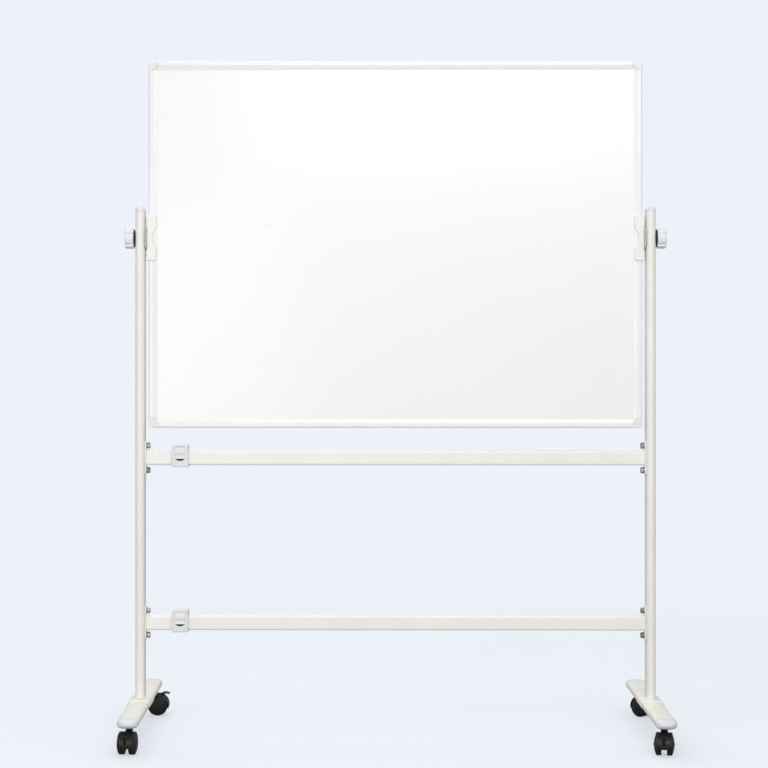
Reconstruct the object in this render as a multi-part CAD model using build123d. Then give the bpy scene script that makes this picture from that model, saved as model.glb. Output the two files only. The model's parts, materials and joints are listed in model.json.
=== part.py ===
"""Rolling two-sided whiteboard: a framed board that turns over between two posts on a castered stand.

Frame: X runs to the right along the board, Y away from the front, Z up.
The origin is on the floor, at the centre of the whole object's plan.
All sizes are in millimetres.
"""
from build123d import *
import math
import os

# ---------------------------------------------------------------- driving dimensions
BOARD_WIDTH = 1200.0
BOARD_HEIGHT = 892.0
BOARD_CENTRE_Z = 1189.5
PANEL_THICKNESS = 13.0
SHEET_THICKNESS = 0.5
PANEL_INSET = 8.0

RAIL_FACE = 21.0
RAIL_DEPTH = 21.0
RAIL_BULLNOSE = 4.5
RAIL_GROOVE_AT = 10.3
RAIL_GROOVE_WIDTH = 1.4
RAIL_GROOVE_DEPTH = 1.0
RAIL_LIP_DEPTH = 14.8
RAIL_WALL = 2.0
RAIL_CHAMBER_DEPTH = 14.0

CORNER_SIZE = 22.5
CORNER_DEPTH = 21.8
CORNER_RADIUS = 8.0
CORNER_TONGUE_LENGTH = 16.0
CORNER_CHAMFER = 0.8
TONGUE_GAP = 0.1

PIVOT_Z = 1204.5
BRACKET_HEIGHT = 109.0
BRACKET_FACE_X = 605.0
BRACKET_PLATE = 3.0
BRACKET_LOBE_WIDTH = 24.0
BRACKET_WAIST_WIDTH = 14.6
BRACKET_LOBE_HEIGHT = 26.5
BRACKET_WAIST_HEIGHT = 16.0
BRACKET_OUTLINE_ROUND = 6.0
BRACKET_EDGE_ROUND = 2.5
BRACKET_SCREW_OFFSET = 41.0
SCREW_RADIUS = 2.4
SCREW_HEAD_RADIUS = 4.9
SCREW_HEAD_HEIGHT = 2.5
SCREW_REACH = 9.0
DISC_RADIUS = 27.5
DISC_FLAT_HALF = 20.0
DISC_THICKNESS = 5.0
DISC_SEAT = 1.0

STUD_RADIUS = 4.0
STUD_PLATE = 20.0
STUD_PLATE_THICKNESS = 2.2
STUD_END_X = 653.0
STUD_CHAMFER = 1.0
SLEEVE_RADIUS = 6.0

POST_WIDTH = 23.0
POST_DEPTH = 46.0
POST_WALL = 1.5
POST_INNER_X = 609.0
POST_TOP_Z = 1268.5
POST_CAP_HEIGHT = 14.0
POST_CAP_ROUND = 10.0
POST_PLUG_LENGTH = 12.0

KNOB_RADIUS = 25.0
KNOB_HUB_RADIUS = 15.0
KNOB_BACK_X = 636.4
KNOB_FACE_X = 658.0
KNOB_LOBES = 6
KNOB_LOBE_PHASE = 20.0
KNOB_GROOVE_RADIUS = 4.2
KNOB_ROUND = 4.0
KNOB_WASHER_RADIUS = 21.0
KNOB_WASHER_THICKNESS = 4.0
INSERT_RADIUS = 7.0
INSERT_END_X = -655.0

BAR_HEIGHT = 35.0
BAR_DEPTH = 20.0
BAR_WALL = 1.5
BAR_CORNER = 5.0
UPPER_BAR_Z = 670.0
LOWER_BAR_Z = 268.5
FLANGE_HEIGHT = 80.0
FLANGE_WIDTH = 22.0
FLANGE_THICKNESS = 3.0
FLANGE_CORNER = 4.0
FLANGE_BOLT_OFFSET = 30.0

BOLT_RADIUS = 4.0
BOLT_HEAD_ACROSS = 13.0
BOLT_HEAD_HEIGHT = 5.3
FLAT_WASHER_RADIUS = 8.0
FLAT_WASHER_THICKNESS = 1.6
SPRING_WASHER_RADIUS = 6.9
SPRING_WASHER_THICKNESS = 2.0
NUT_THICKNESS = 6.5

FOOT_LENGTH = 550.0
FOOT_WIDTH = 50.0
FOOT_HEIGHT = 23.0
FOOT_BOTTOM_Z = 62.0
FOOT_ROUND = 10.0
FOOT_END_ROUND = 18.0
FOOT_WALL = 2.0
FOOT_CAP_LENGTH = 30.0
FOOT_PLUG_LENGTH = 10.0
FOOT_PLUG_GAP = 0.1
COLLAR_LENGTH = 92.0
COLLAR_THICKNESS = 2.5
COLLAR_HEM_Z = 69.5
BASE_BLOCK_HEIGHT = 40.0
BASE_BLOCK_GAP = 0.2
BASE_BOLT_SPACING = 24.0
BASE_BOLT_REACH = 25.0

CASTER_Y = 225.0
CASTER_TRAIL = 18.5
CASTER_WHEEL_RADIUS = 25.0
WHEEL_INNER_FACE = 6.6
WHEEL_TREAD_EDGE = 18.6
WHEEL_OUTER_FACE = 24.0
AXLE_RADIUS = 4.0
HOOD_RADIUS = 27.5
HOOD_HALF_WIDTH = 19.2
HOOD_WEB_HALF = 6.2
HOOD_POCKET_RADIUS = 25.8
HOOD_TOP_Z = 57.0
HOOD_WEB_BOTTOM_Z = 17.0
HOOD_FENDER_BOTTOM_Z = 20.0
STEM_RADIUS = 5.0
STEM_NECK_RADIUS = 6.0
STEM_BOTTOM_Z = 39.0
STEM_BELOW_TUBE_TOP = 6.0
SOCKET_RADIUS = 8.0
SOCKET_BELOW_TUBE_TOP = 4.0
BOSS_RADIUS = 8.5
SLOT_DEPTH = 9.0
SLOT_BOTTOM_Z = 27.5
SLOT_TOP_Z = 42.0
SLOT_HALF = 3.2
SLOT_BAR_HALF = 7.0
SLOT_BAR_HEIGHT = 4.0
LEVER_PIN_RADIUS = 1.8
LEVER_PIN_HALF = 5.6
LEVER_PADDLE_HALF = 9.0
LEVER_BLADE_HALF = 3.8
LEVER_CLEARANCE = 0.7
LEVER_SLIT_BOTTOM_Z = 37.0
LEVER_WINDOW_BOTTOM_Z = 45.5
LEVER_WINDOW_LENGTH = 14.0

CLIP_X = -523.0
CLIP_WIDTH = 39.0
CLIP_FRONT_Y = -19.0
CLIP_BACK_Y = 13.5
CLIP_ABOVE_BAR = 15.0
CLIP_BELOW_BAR = 4.0
CLIP_ROOF = 3.0
CLIP_CHEEK_GAP = 0.4
CLIP_ROUND = 2.5
CLIP_RIB = 3.0
CLIP_RIB_DROP = 1.6
CLIP_RECESS_DEPTH = 6.0
CLIP_RECESS_HEIGHT = 6.0
LATCH_WIDTH = 23.6
LATCH_PIN_Y = -15.0
LATCH_PIN_RISE = 25.0
LATCH_PIN_RADIUS = 1.5
LATCH_PIN_END = 3.0
LATCH_BARREL_RADIUS = 3.0
LATCH_LIP_Z = -1.3

RUNNING_GAP = 0.05
LOOSE_GAP = 0.3
OVERSHOOT = 1.0

# ---------------------------------------------------------------- places worked out from them
POST_X = POST_INNER_X + POST_WIDTH / 2
POST_OUTER_X = POST_INNER_X + POST_WIDTH
FOOT_TOP_Z = FOOT_BOTTOM_Z + FOOT_HEIGHT
FOOT_CENTRE_Z = FOOT_BOTTOM_Z + FOOT_HEIGHT / 2
FLANGE_INNER_X = POST_INNER_X - FLANGE_THICKNESS
HEAD_SEAT_X = FLANGE_INNER_X - FLAT_WASHER_THICKNESS - SPRING_WASHER_THICKNESS
HALF_BOARD = BOARD_WIDTH / 2
BOARD_BOTTOM_Z = BOARD_CENTRE_Z - BOARD_HEIGHT / 2
BOARD_TOP_Z = BOARD_CENTRE_Z + BOARD_HEIGHT / 2
LEVER_PIN_X = CASTER_TRAIL + 4.5
LEVER_PIN_Z = CASTER_WHEEL_RADIUS + 17.0
BAR_HEIGHTS = {"upper": UPPER_BAR_Z, "lower": LOWER_BAR_Z}

# Each caster: which foot, which end of it, the direction its wheels trail in, and whether it brakes.
CASTERS = {
    "front_left": (-1, -1, 263.0, False),
    "front_right": (1, -1, 260.0, False),
    "rear_left": (-1, 1, 0.0, True),
    "rear_right": (1, 1, -45.0, True),
}


# ---------------------------------------------------------------- small helpers
def block(x_range, y_range, z_range):
    """A box from its lowest to its highest coordinate on each axis."""
    middle = [(low + high) / 2 for low, high in (x_range, y_range, z_range)]
    lengths = [high - low for low, high in (x_range, y_range, z_range)]
    return Pos(*middle) * Box(*lengths)


def rod_x(radius, start, end, y=0.0, z=0.0):
    """A round rod along X."""
    return Pos((start + end) / 2, y, z) * Rot(0, 90, 0) * Cylinder(radius, abs(end - start))


def rod_y(radius, start, end, x=0.0, z=0.0):
    """A round rod along Y."""
    return Pos(x, (start + end) / 2, z) * Rot(90, 0, 0) * Cylinder(radius, abs(end - start))


def rod_z(radius, start, end, x=0.0, y=0.0):
    """A round rod along Z."""
    return Pos(x, y, (start + end) / 2) * Cylinder(radius, abs(end - start))


def ring_x(outer, inner, start, end, y=0.0, z=0.0):
    """A round ring along X, such as a washer."""
    return rod_x(outer, start, end, y, z) - rod_x(inner, start - OVERSHOOT, end + OVERSHOOT, y, z)


def bolt_hexagon():
    """The outline that the bolt heads and the nuts share."""
    return RegularPolygon(BOLT_HEAD_ACROSS / math.sqrt(3), 6)


def hexagon_x(start, end, z):
    """A bolt head or nut blank along X."""
    return extrude(Plane(origin=(start, 0, z), z_dir=(1, 0, 0)) * bolt_hexagon(), end - start)


def other_side(shape):
    """The same shape on the other side of the middle plane."""
    return mirror(shape, about=Plane.YZ)


def both_sides(shape):
    """A shape and its mirror image, as one group of solids."""
    return Compound(children=[*shape.solids(), *other_side(shape).solids()])


def group(shapes):
    """Several separate solids as one group."""
    return Compound(children=[solid for shape in shapes for solid in shape.solids()])


def outline_x(points):
    """A closed outline drawn in Y and Z, as a face that looks along X."""
    return make_face(Plane.YZ * Polyline(*points, close=True))


# ---------------------------------------------------------------- posts and crossbars
def oval(depth, width):
    """The posts' section: a flat-sided oval, long from front to back."""
    return Rot(0, 0, 90) * SlotOverall(depth, width)


def right_post():
    height = POST_TOP_Z - FOOT_TOP_Z
    outer = extrude(oval(POST_DEPTH, POST_WIDTH), height)
    inner = extrude(oval(POST_DEPTH - 2 * POST_WALL, POST_WIDTH - 2 * POST_WALL), height)
    post = Pos(POST_X, 0, FOOT_TOP_Z) * (outer - inner)
    post -= rod_x(SLEEVE_RADIUS, POST_INNER_X - OVERSHOOT, POST_OUTER_X + OVERSHOOT, z=PIVOT_Z)
    for z in flange_bolt_heights():
        post -= rod_x(BOLT_RADIUS, POST_INNER_X - OVERSHOOT, POST_X, z=z)
    return post


def right_post_cap():
    """A domed plastic cap with a short plug inside the post."""
    dome = extrude(oval(POST_DEPTH, POST_WIDTH), POST_CAP_HEIGHT)
    dome = fillet(dome.edges().group_by(Axis.Z)[-1], POST_CAP_ROUND)
    plug_gap = 2 * POST_WALL + 2 * LOOSE_GAP
    plug = extrude(oval(POST_DEPTH - plug_gap, POST_WIDTH - plug_gap), -POST_PLUG_LENGTH)
    return Pos(POST_X, 0, POST_TOP_Z) * (dome + plug)


def flange_bolt_heights():
    return [bar + side * FLANGE_BOLT_OFFSET for bar in BAR_HEIGHTS.values() for side in (-1, 1)]


def crossbar(bar_z):
    outer = RectangleRounded(BAR_DEPTH, BAR_HEIGHT, BAR_CORNER)
    inner = offset(outer, -BAR_WALL)
    return Pos(0, 0, bar_z) * extrude(Plane.YZ * (outer - inner), FLANGE_INNER_X, both=True)


def right_flange(bar_z):
    """The plate that is welded to a crossbar's end and bolted to the post."""
    outline = Plane.YZ * RectangleRounded(FLANGE_WIDTH, FLANGE_HEIGHT, FLANGE_CORNER)
    plate = Pos(FLANGE_INNER_X, 0, bar_z) * extrude(outline, FLANGE_THICKNESS)
    for side in (-1, 1):
        z = bar_z + side * FLANGE_BOLT_OFFSET
        plate -= rod_x(BOLT_RADIUS, FLANGE_INNER_X - OVERSHOOT, POST_INNER_X + OVERSHOOT, z=z)
    return plate


def right_flange_bolt(z):
    head = hexagon_x(HEAD_SEAT_X - BOLT_HEAD_HEIGHT, HEAD_SEAT_X, z)
    return head + rod_x(BOLT_RADIUS, HEAD_SEAT_X, POST_X, z=z)


def right_flange_nut(z):
    start = POST_INNER_X + POST_WALL
    end = start + NUT_THICKNESS
    return hexagon_x(start, end, z) - rod_x(BOLT_RADIUS, start - OVERSHOOT, end + OVERSHOOT, z=z)


# ---------------------------------------------------------------- feet
def foot_form():
    """One foot's whole outer form: a long flattened bar with rounded ends."""
    form = Box(FOOT_WIDTH, FOOT_LENGTH, FOOT_HEIGHT)
    form = fillet(form.edges().filter_by(Axis.Z), FOOT_END_ROUND)
    flat_edges = form.edges().group_by(Axis.Z)
    return fillet(flat_edges[0] + flat_edges[-1], FOOT_ROUND)


def foot_section(shrink, length):
    """The foot's section, smaller by the same amount all round, extruded along Y about the middle."""
    outline = RectangleRounded(FOOT_WIDTH - 2 * shrink, FOOT_HEIGHT - 2 * shrink, FOOT_ROUND - shrink)
    return extrude(Plane.XZ * outline, length / 2, both=True)


def base_bolt_places():
    return [side * BASE_BOLT_SPACING / 2 for side in (-1, 1)]


def right_foot_tube():
    length = FOOT_LENGTH - 2 * FOOT_CAP_LENGTH
    tube = foot_section(0, length) - foot_section(FOOT_WALL, length + 2 * OVERSHOOT)
    tube = Pos(POST_X, 0, FOOT_CENTRE_Z) * tube
    for end in (-1, 1):
        tube -= rod_z(SOCKET_RADIUS, FOOT_BOTTOM_Z - OVERSHOOT, FOOT_CENTRE_Z, POST_X, end * CASTER_Y)
    for y in base_bolt_places():
        tube -= rod_z(BOLT_RADIUS, FOOT_BOTTOM_Z - OVERSHOOT, FOOT_TOP_Z + OVERSHOOT, POST_X, y)
    return tube


def right_foot_caps():
    """The plastic ends, front and rear, each with a plug inside the tube."""
    cap_start = FOOT_LENGTH / 2 - FOOT_CAP_LENGTH
    middle = Box(2 * FOOT_WIDTH, 2 * cap_start, 2 * FOOT_HEIGHT)
    ends = foot_form() - middle
    plugs = foot_section(FOOT_WALL + FOOT_PLUG_GAP, 2 * cap_start)
    plugs -= Box(2 * FOOT_WIDTH, 2 * (cap_start - FOOT_PLUG_LENGTH), 2 * FOOT_HEIGHT)
    return Pos(POST_X, 0, FOOT_CENTRE_Z) * (ends + plugs)


def right_foot_collar():
    """A moulded saddle over the foot, with the post standing through it."""
    shell = foot_section(-COLLAR_THICKNESS, COLLAR_LENGTH) - foot_section(0, COLLAR_LENGTH + 2 * OVERSHOOT)
    shell = Pos(POST_X, 0, FOOT_CENTRE_Z) * shell
    beside = (POST_X - FOOT_WIDTH, POST_X + FOOT_WIDTH)
    shell -= block(beside, (-COLLAR_LENGTH, COLLAR_LENGTH), (0, COLLAR_HEM_Z))
    hole = extrude(oval(POST_DEPTH, POST_WIDTH), FOOT_HEIGHT)
    return shell - Pos(POST_X, 0, FOOT_CENTRE_Z) * hole


def right_base_block():
    """The threaded block inside the post's lower end."""
    smaller = 2 * POST_WALL + 2 * BASE_BLOCK_GAP
    outline = oval(POST_DEPTH - smaller, POST_WIDTH - smaller)
    shape = Pos(POST_X, 0, FOOT_TOP_Z) * extrude(outline, BASE_BLOCK_HEIGHT)
    for y in base_bolt_places():
        shape -= rod_z(BOLT_RADIUS, FOOT_CENTRE_Z, FOOT_TOP_Z + BASE_BOLT_REACH + OVERSHOOT, POST_X, y)
    return shape


def right_base_bolts():
    """The bolts that come up through the foot into the base block."""
    shapes = []
    for y in base_bolt_places():
        head = Pos(POST_X, y, FOOT_BOTTOM_Z) * extrude(bolt_hexagon(), -BOLT_HEAD_HEIGHT)
        shapes.append(head + rod_z(BOLT_RADIUS, FOOT_BOTTOM_Z, FOOT_TOP_Z + BASE_BOLT_REACH, POST_X, y))
    return group(shapes)


# ---------------------------------------------------------------- board
def rail_section():
    """The rail's section: u runs inward from the outer edge, v through the board's depth."""
    half = RAIL_DEPTH / 2
    slot = PANEL_THICKNESS / 2
    groove_end = RAIL_GROOVE_AT + RAIL_GROOVE_WIDTH
    nose = CenterArc((RAIL_BULLNOSE, half - RAIL_BULLNOSE), RAIL_BULLNOSE, 180, -90)
    edge = Polyline(
        (RAIL_BULLNOSE, half),
        (RAIL_GROOVE_AT, half),
        (RAIL_GROOVE_AT, half - RAIL_GROOVE_DEPTH),
        (groove_end, half - RAIL_GROOVE_DEPTH),
        (groove_end, half - 0.4),
        (RAIL_FACE, RAIL_LIP_DEPTH / 2),
        (RAIL_FACE, slot),
        (PANEL_INSET, slot),
        (PANEL_INSET, 0),
        (0, 0),
        (0, half - RAIL_BULLNOSE),
    )
    upper = make_face(nose + edge)
    section = upper + mirror(upper, about=Plane.XZ)
    chamber_width = PANEL_INSET - 2 * RAIL_WALL
    return section - Pos(PANEL_INSET / 2, 0) * Rectangle(chamber_width, RAIL_CHAMBER_DEPTH)


def level_rail(edge_z, inward):
    """The top or bottom rail, between the corner pieces."""
    start = CORNER_SIZE - HALF_BOARD
    plane = Plane(origin=(start, 0, edge_z), x_dir=(0, 0, inward), z_dir=(1, 0, 0))
    return extrude(plane * rail_section(), BOARD_WIDTH - 2 * CORNER_SIZE)


def left_rail():
    start = BOARD_BOTTOM_Z + CORNER_SIZE
    rail = Pos(-HALF_BOARD, 0, start) * extrude(rail_section(), BOARD_HEIGHT - 2 * CORNER_SIZE)
    for side in (-1, 1):
        z = PIVOT_Z + side * BRACKET_SCREW_OFFSET
        rail -= rod_x(SCREW_RADIUS, -HALF_BOARD - OVERSHOOT, RAIL_WALL - HALF_BOARD, z=z)
    return rail


def panel_slab(low_y, high_y):
    """A flat layer of the board's panel between two depths."""
    half_width = HALF_BOARD - PANEL_INSET
    heights = (BOARD_BOTTOM_Z + PANEL_INSET, BOARD_TOP_Z - PANEL_INSET)
    return block((-half_width, half_width), (low_y, high_y), heights)


def on_the_outside(edge):
    """Whether an edge of a corner piece lies on the board's outer border, not against a rail."""
    return min(edge.center().X, edge.center().Z) < CORNER_RADIUS / 2


def corner_piece(right, up):
    """A moulded corner with a tongue into each of the two rails that meet there."""
    low = CORNER_SIZE
    body = Pos(low / 2, 0, low / 2) * Box(low, CORNER_DEPTH, low)
    outer_edge = body.edges().filter_by(Axis.Y).group_by(Axis.X)[0].sort_by(Axis.Z)[0]
    body = fillet(outer_edge, CORNER_RADIUS)
    outside = body.faces().filter_by(Axis.Y).edges().filter_by(on_the_outside)
    body = chamfer(outside, CORNER_CHAMFER)
    inset = RAIL_WALL + TONGUE_GAP
    tongue_end = low + CORNER_TONGUE_LENGTH
    tongue_width = (inset, PANEL_INSET - inset)
    tongue_half = RAIL_CHAMBER_DEPTH / 2 - 2 * TONGUE_GAP
    tongue_depth = (-tongue_half, tongue_half)
    body += block((low, tongue_end), tongue_depth, tongue_width)
    body += block(tongue_width, tongue_depth, (low, tongue_end))
    slot = PANEL_THICKNESS / 2
    body -= block((PANEL_INSET, tongue_end), (-slot, slot), (PANEL_INSET, tongue_end))
    if up > 0:
        body = mirror(body, about=Plane.XY)
    if right > 0:
        body = mirror(body, about=Plane.YZ)
    edge_z = BOARD_TOP_Z if up > 0 else BOARD_BOTTOM_Z
    return Pos(right * HALF_BOARD, 0, edge_z) * body


def bracket_plate_outline():
    """The bracket's front: two lobes joined by a narrow waist, drawn in X and Z about the pivot."""
    lobe_x = BRACKET_LOBE_WIDTH - BRACKET_FACE_X
    waist_x = BRACKET_WAIST_WIDTH - BRACKET_FACE_X
    top = BRACKET_HEIGHT / 2
    lobe_end = top - BRACKET_LOBE_HEIGHT
    waist = BRACKET_WAIST_HEIGHT / 2
    points = [
        (-BRACKET_FACE_X, -top), (lobe_x, -top), (lobe_x, -lobe_end), (waist_x, -waist),
        (waist_x, waist), (lobe_x, lobe_end), (lobe_x, top), (-BRACKET_FACE_X, top),
    ]
    face = make_face(Polyline(*points, close=True))
    inner_corners = face.vertices().filter_by(lambda vertex: vertex.X > -HALF_BOARD)
    return fillet(inner_corners, BRACKET_OUTLINE_ROUND)


def left_bracket():
    """The pivot bracket: a web on the board's edge with a plate on each face of the rail."""
    half_depth = RAIL_DEPTH / 2 + BRACKET_PLATE
    outline = Plane.XZ * bracket_plate_outline()
    bracket = extrude(outline, half_depth, both=True)
    bracket = fillet(bracket.edges().filter_by(Axis.Z).group_by(Axis.X)[0], BRACKET_EDGE_ROUND)
    bracket -= block((-HALF_BOARD, 0), (-RAIL_DEPTH / 2, RAIL_DEPTH / 2), (-BRACKET_HEIGHT, BRACKET_HEIGHT))
    seat_half = DISC_RADIUS + LOOSE_GAP
    seat = (-BRACKET_FACE_X - OVERSHOOT, DISC_SEAT - BRACKET_FACE_X)
    bracket -= block(seat, (-seat_half, seat_half), (-seat_half, seat_half))
    bracket -= stud_plate()
    bracket -= rod_x(STUD_RADIUS, -BRACKET_FACE_X - OVERSHOOT, -HALF_BOARD)
    bracket = Pos(0, 0, PIVOT_Z) * bracket
    for screw in left_bracket_screws().solids():
        bracket -= screw
    return bracket


def left_bracket_screws():
    """The two countersunk screws that hold the bracket to the board's rail."""
    shapes = []
    for side in (-1, 1):
        z = PIVOT_Z + side * BRACKET_SCREW_OFFSET
        shank = rod_x(SCREW_RADIUS, -BRACKET_FACE_X, -BRACKET_FACE_X + SCREW_REACH, z=z)
        head = Rot(0, 90, 0) * Cone(SCREW_HEAD_RADIUS, SCREW_RADIUS, SCREW_HEAD_HEIGHT)
        shapes.append(shank + Pos(-BRACKET_FACE_X + SCREW_HEAD_HEIGHT / 2, 0, z) * head)
    return group(shapes)


def stud_plate():
    """The square plate on the stud's inner end, about the pivot's axis."""
    half = STUD_PLATE / 2
    return block((-HALF_BOARD - STUD_PLATE_THICKNESS, -HALF_BOARD), (-half, half), (-half, half))


def left_stud():
    """The threaded stud that the board turns on, with its plate held in the bracket."""
    stud = rod_x(STUD_RADIUS, -STUD_END_X, -HALF_BOARD - STUD_PLATE_THICKNESS)
    stud = chamfer(stud.edges().sort_by(Axis.X)[0], STUD_CHAMFER)
    return Pos(0, 0, PIVOT_Z) * (stud_plate() + stud)


def left_friction_disc():
    """A disc with a flat cut on its front and rear."""
    start = -POST_INNER_X
    end = start + DISC_THICKNESS
    between_flats = (-DISC_FLAT_HALF, DISC_FLAT_HALF)
    disc = ring_x(DISC_RADIUS, STUD_RADIUS, start, end)
    disc &= block((start, end), between_flats, (-DISC_RADIUS, DISC_RADIUS))
    return Pos(0, 0, PIVOT_Z) * disc


def left_sleeve():
    """The spacer tube through the post, which keeps the knob from crushing it."""
    return ring_x(SLEEVE_RADIUS, STUD_RADIUS + RUNNING_GAP, -POST_OUTER_X, -POST_INNER_X, z=PIVOT_Z)


# ---------------------------------------------------------------- clamping knobs
def left_knob():
    """A lobed hand knob: six shallow grooves round a rounded disc, with a hub behind it."""
    body = rod_x(KNOB_RADIUS, -KNOB_FACE_X, -KNOB_BACK_X)
    body = fillet(body.edges().sort_by(Axis.X)[0], KNOB_ROUND)
    body += rod_x(KNOB_HUB_RADIUS, -KNOB_BACK_X, -POST_OUTER_X - KNOB_WASHER_THICKNESS)
    for lobe in range(KNOB_LOBES):
        angle = math.radians(KNOB_LOBE_PHASE + lobe * 360 / KNOB_LOBES)
        y = -KNOB_RADIUS * math.cos(angle)
        z = KNOB_RADIUS * math.sin(angle)
        body -= rod_x(KNOB_GROOVE_RADIUS, -KNOB_FACE_X - OVERSHOOT, -KNOB_BACK_X + OVERSHOOT, y, z)
    body -= rod_x(INSERT_RADIUS, INSERT_END_X, -POST_OUTER_X)
    return Pos(0, 0, PIVOT_Z) * body


def left_knob_insert():
    """The threaded brass insert moulded into the knob."""
    start = -POST_OUTER_X - KNOB_WASHER_THICKNESS
    insert = rod_x(INSERT_RADIUS, INSERT_END_X, start)
    insert -= rod_x(STUD_RADIUS + RUNNING_GAP, -STUD_END_X - OVERSHOOT, start + OVERSHOOT)
    return Pos(0, 0, PIVOT_Z) * insert


def left_knob_washer():
    start = -POST_OUTER_X - KNOB_WASHER_THICKNESS
    return ring_x(KNOB_WASHER_RADIUS, STUD_RADIUS + LOOSE_GAP, start, -POST_OUTER_X, z=PIVOT_Z)


# ---------------------------------------------------------------- sliding clips on the crossbars
def clip_body(bar_z):
    """A sleeve round the crossbar with a window in front for its latch."""
    half = CLIP_WIDTH / 2
    bar_half = BAR_HEIGHT / 2
    inner_half = BAR_DEPTH / 2 + CLIP_CHEEK_GAP
    inner_bottom = -bar_half - CLIP_CHEEK_GAP
    roof = bar_half + CLIP_ABOVE_BAR - CLIP_ROOF
    heights = (-bar_half - CLIP_BELOW_BAR, bar_half + CLIP_ABOVE_BAR)
    body = block((-half, half), (CLIP_FRONT_Y, CLIP_BACK_Y), heights)
    body = fillet(body.edges().filter_by(Axis.X), CLIP_ROUND)
    body -= block((-CLIP_WIDTH, CLIP_WIDTH), (-inner_half, inner_half), (inner_bottom, roof))
    window_half = LATCH_WIDTH / 2 + LOOSE_GAP
    window = (-window_half, window_half)
    window_top = LATCH_PIN_RISE + LATCH_BARREL_RADIUS + LOOSE_GAP
    in_front = CLIP_FRONT_Y - OVERSHOOT
    body -= block(window, (in_front, 0), (LATCH_LIP_Z - OVERSHOOT, window_top))
    recess_bottom = LATCH_LIP_Z - OVERSHOOT - CLIP_RECESS_HEIGHT
    body -= block(window, (in_front, CLIP_FRONT_Y + CLIP_RECESS_DEPTH), (recess_bottom, LATCH_LIP_Z))
    rib_bottom = bar_half + CLIP_CHEEK_GAP
    for side in (-1, 1):
        rib_x = sorted((side * half, side * (window_half + OVERSHOOT)))
        rib_z = (rib_bottom, rib_bottom + CLIP_RIB_DROP)
        body += block(rib_x, (-inner_half, CLIP_RIB - inner_half), rib_z)
        body += block(rib_x, (inner_half - CLIP_RIB, inner_half), rib_z)
    pin_hole = LATCH_WIDTH / 2 + LATCH_PIN_END + LOOSE_GAP
    body -= rod_x(LATCH_PIN_RADIUS + RUNNING_GAP, -pin_hole, pin_hole, LATCH_PIN_Y, LATCH_PIN_RISE)
    return Pos(CLIP_X, 0, bar_z) * body


def clip_latch(bar_z):
    """The latch: a barrel, a tongue with a crease and a curled lip, and a cam behind it."""
    outline = [
        (LATCH_PIN_Y - LATCH_BARREL_RADIUS, LATCH_PIN_RISE),
        (-19.6, 12.8),
        (-17.4, 4.6),
        (-21.6, LATCH_LIP_Z + 1.2),
        (-20.6, LATCH_LIP_Z),
        (-18.6, LATCH_LIP_Z),
        (-14.6, 4.2),
        (-16.6, 12.8),
        (LATCH_PIN_Y, LATCH_PIN_RISE - LATCH_BARREL_RADIUS),
        (-9.2, 16.4),
        (-8.0, 18.5),
        (-11.2, LATCH_PIN_RISE + 1.0),
        (LATCH_PIN_Y, LATCH_PIN_RISE + LATCH_BARREL_RADIUS - 0.4),
    ]
    half = LATCH_WIDTH / 2
    latch = extrude(outline_x(outline), half, both=True)
    latch += rod_x(LATCH_BARREL_RADIUS, -half, half, LATCH_PIN_Y, LATCH_PIN_RISE)
    pin_reach = half + LATCH_PIN_END
    latch += rod_x(LATCH_PIN_RADIUS, -pin_reach, pin_reach, LATCH_PIN_Y, LATCH_PIN_RISE)
    return Pos(CLIP_X, 0, bar_z) * latch


# ---------------------------------------------------------------- casters
# A caster is drawn about its swivel axis, with its wheels trailing along +X, and then turned into place.
def caster_hood(brakes):
    """The hood over the twin wheels, with a web between them and a boss for the stem."""
    wheel_z = CASTER_WHEEL_RADIUS
    beside = WHEEL_OUTER_FACE
    whole = (-HOOD_RADIUS, CASTER_TRAIL + 2 * HOOD_RADIUS)
    hood = rod_y(HOOD_RADIUS, -HOOD_HALF_WIDTH, HOOD_HALF_WIDTH, CASTER_TRAIL, wheel_z)
    hood -= block(whole, (-beside, beside), (-HOOD_RADIUS, HOOD_WEB_BOTTOM_Z))
    for side in (-1, 1):
        outside = sorted((side * HOOD_WEB_HALF, side * beside))
        hood -= block(whole, outside, (-HOOD_RADIUS, HOOD_FENDER_BOTTOM_Z))
    hood += rod_z(BOSS_RADIUS, wheel_z + AXLE_RADIUS, HOOD_TOP_Z)
    web_reach = (wheel_z + AXLE_RADIUS, HOOD_TOP_Z - STEM_NECK_RADIUS)
    hood += block((0, CASTER_TRAIL), (-HOOD_WEB_HALF, HOOD_WEB_HALF), web_reach)
    for side in (-1, 1):
        outside = sorted((side * HOOD_WEB_HALF, side * beside))
        hood -= rod_y(HOOD_POCKET_RADIUS, *outside, CASTER_TRAIL, wheel_z)
    hood -= rod_y(AXLE_RADIUS, -beside, beside, CASTER_TRAIL, wheel_z)
    hood -= rod_z(STEM_RADIUS + RUNNING_GAP, STEM_BOTTOM_Z - OVERSHOOT, HOOD_TOP_Z + OVERSHOOT)
    return hood - (lever_opening() if brakes else trailing_slot())


def lever_opening():
    """The opening in a braked hood: a slit for the lever's blade and a window for its paddle."""
    above = HOOD_TOP_Z + OVERSHOOT
    start = CASTER_TRAIL - OVERSHOOT
    blade_half = LEVER_BLADE_HALF + LEVER_CLEARANCE
    slit = (start, CASTER_TRAIL + HOOD_RADIUS + OVERSHOOT)
    opening = block(slit, (-blade_half, blade_half), (LEVER_SLIT_BOTTOM_Z, above))
    window = (start, CASTER_TRAIL + LEVER_WINDOW_LENGTH)
    paddle_half = LEVER_PADDLE_HALF + 2 * LEVER_CLEARANCE
    opening += block(window, (-paddle_half, paddle_half), (LEVER_WINDOW_BOTTOM_Z, above))
    pin_hole = LEVER_PIN_HALF + LOOSE_GAP
    return opening + rod_y(LEVER_PIN_RADIUS + RUNNING_GAP, -pin_hole, pin_hole, LEVER_PIN_X, LEVER_PIN_Z)


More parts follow.
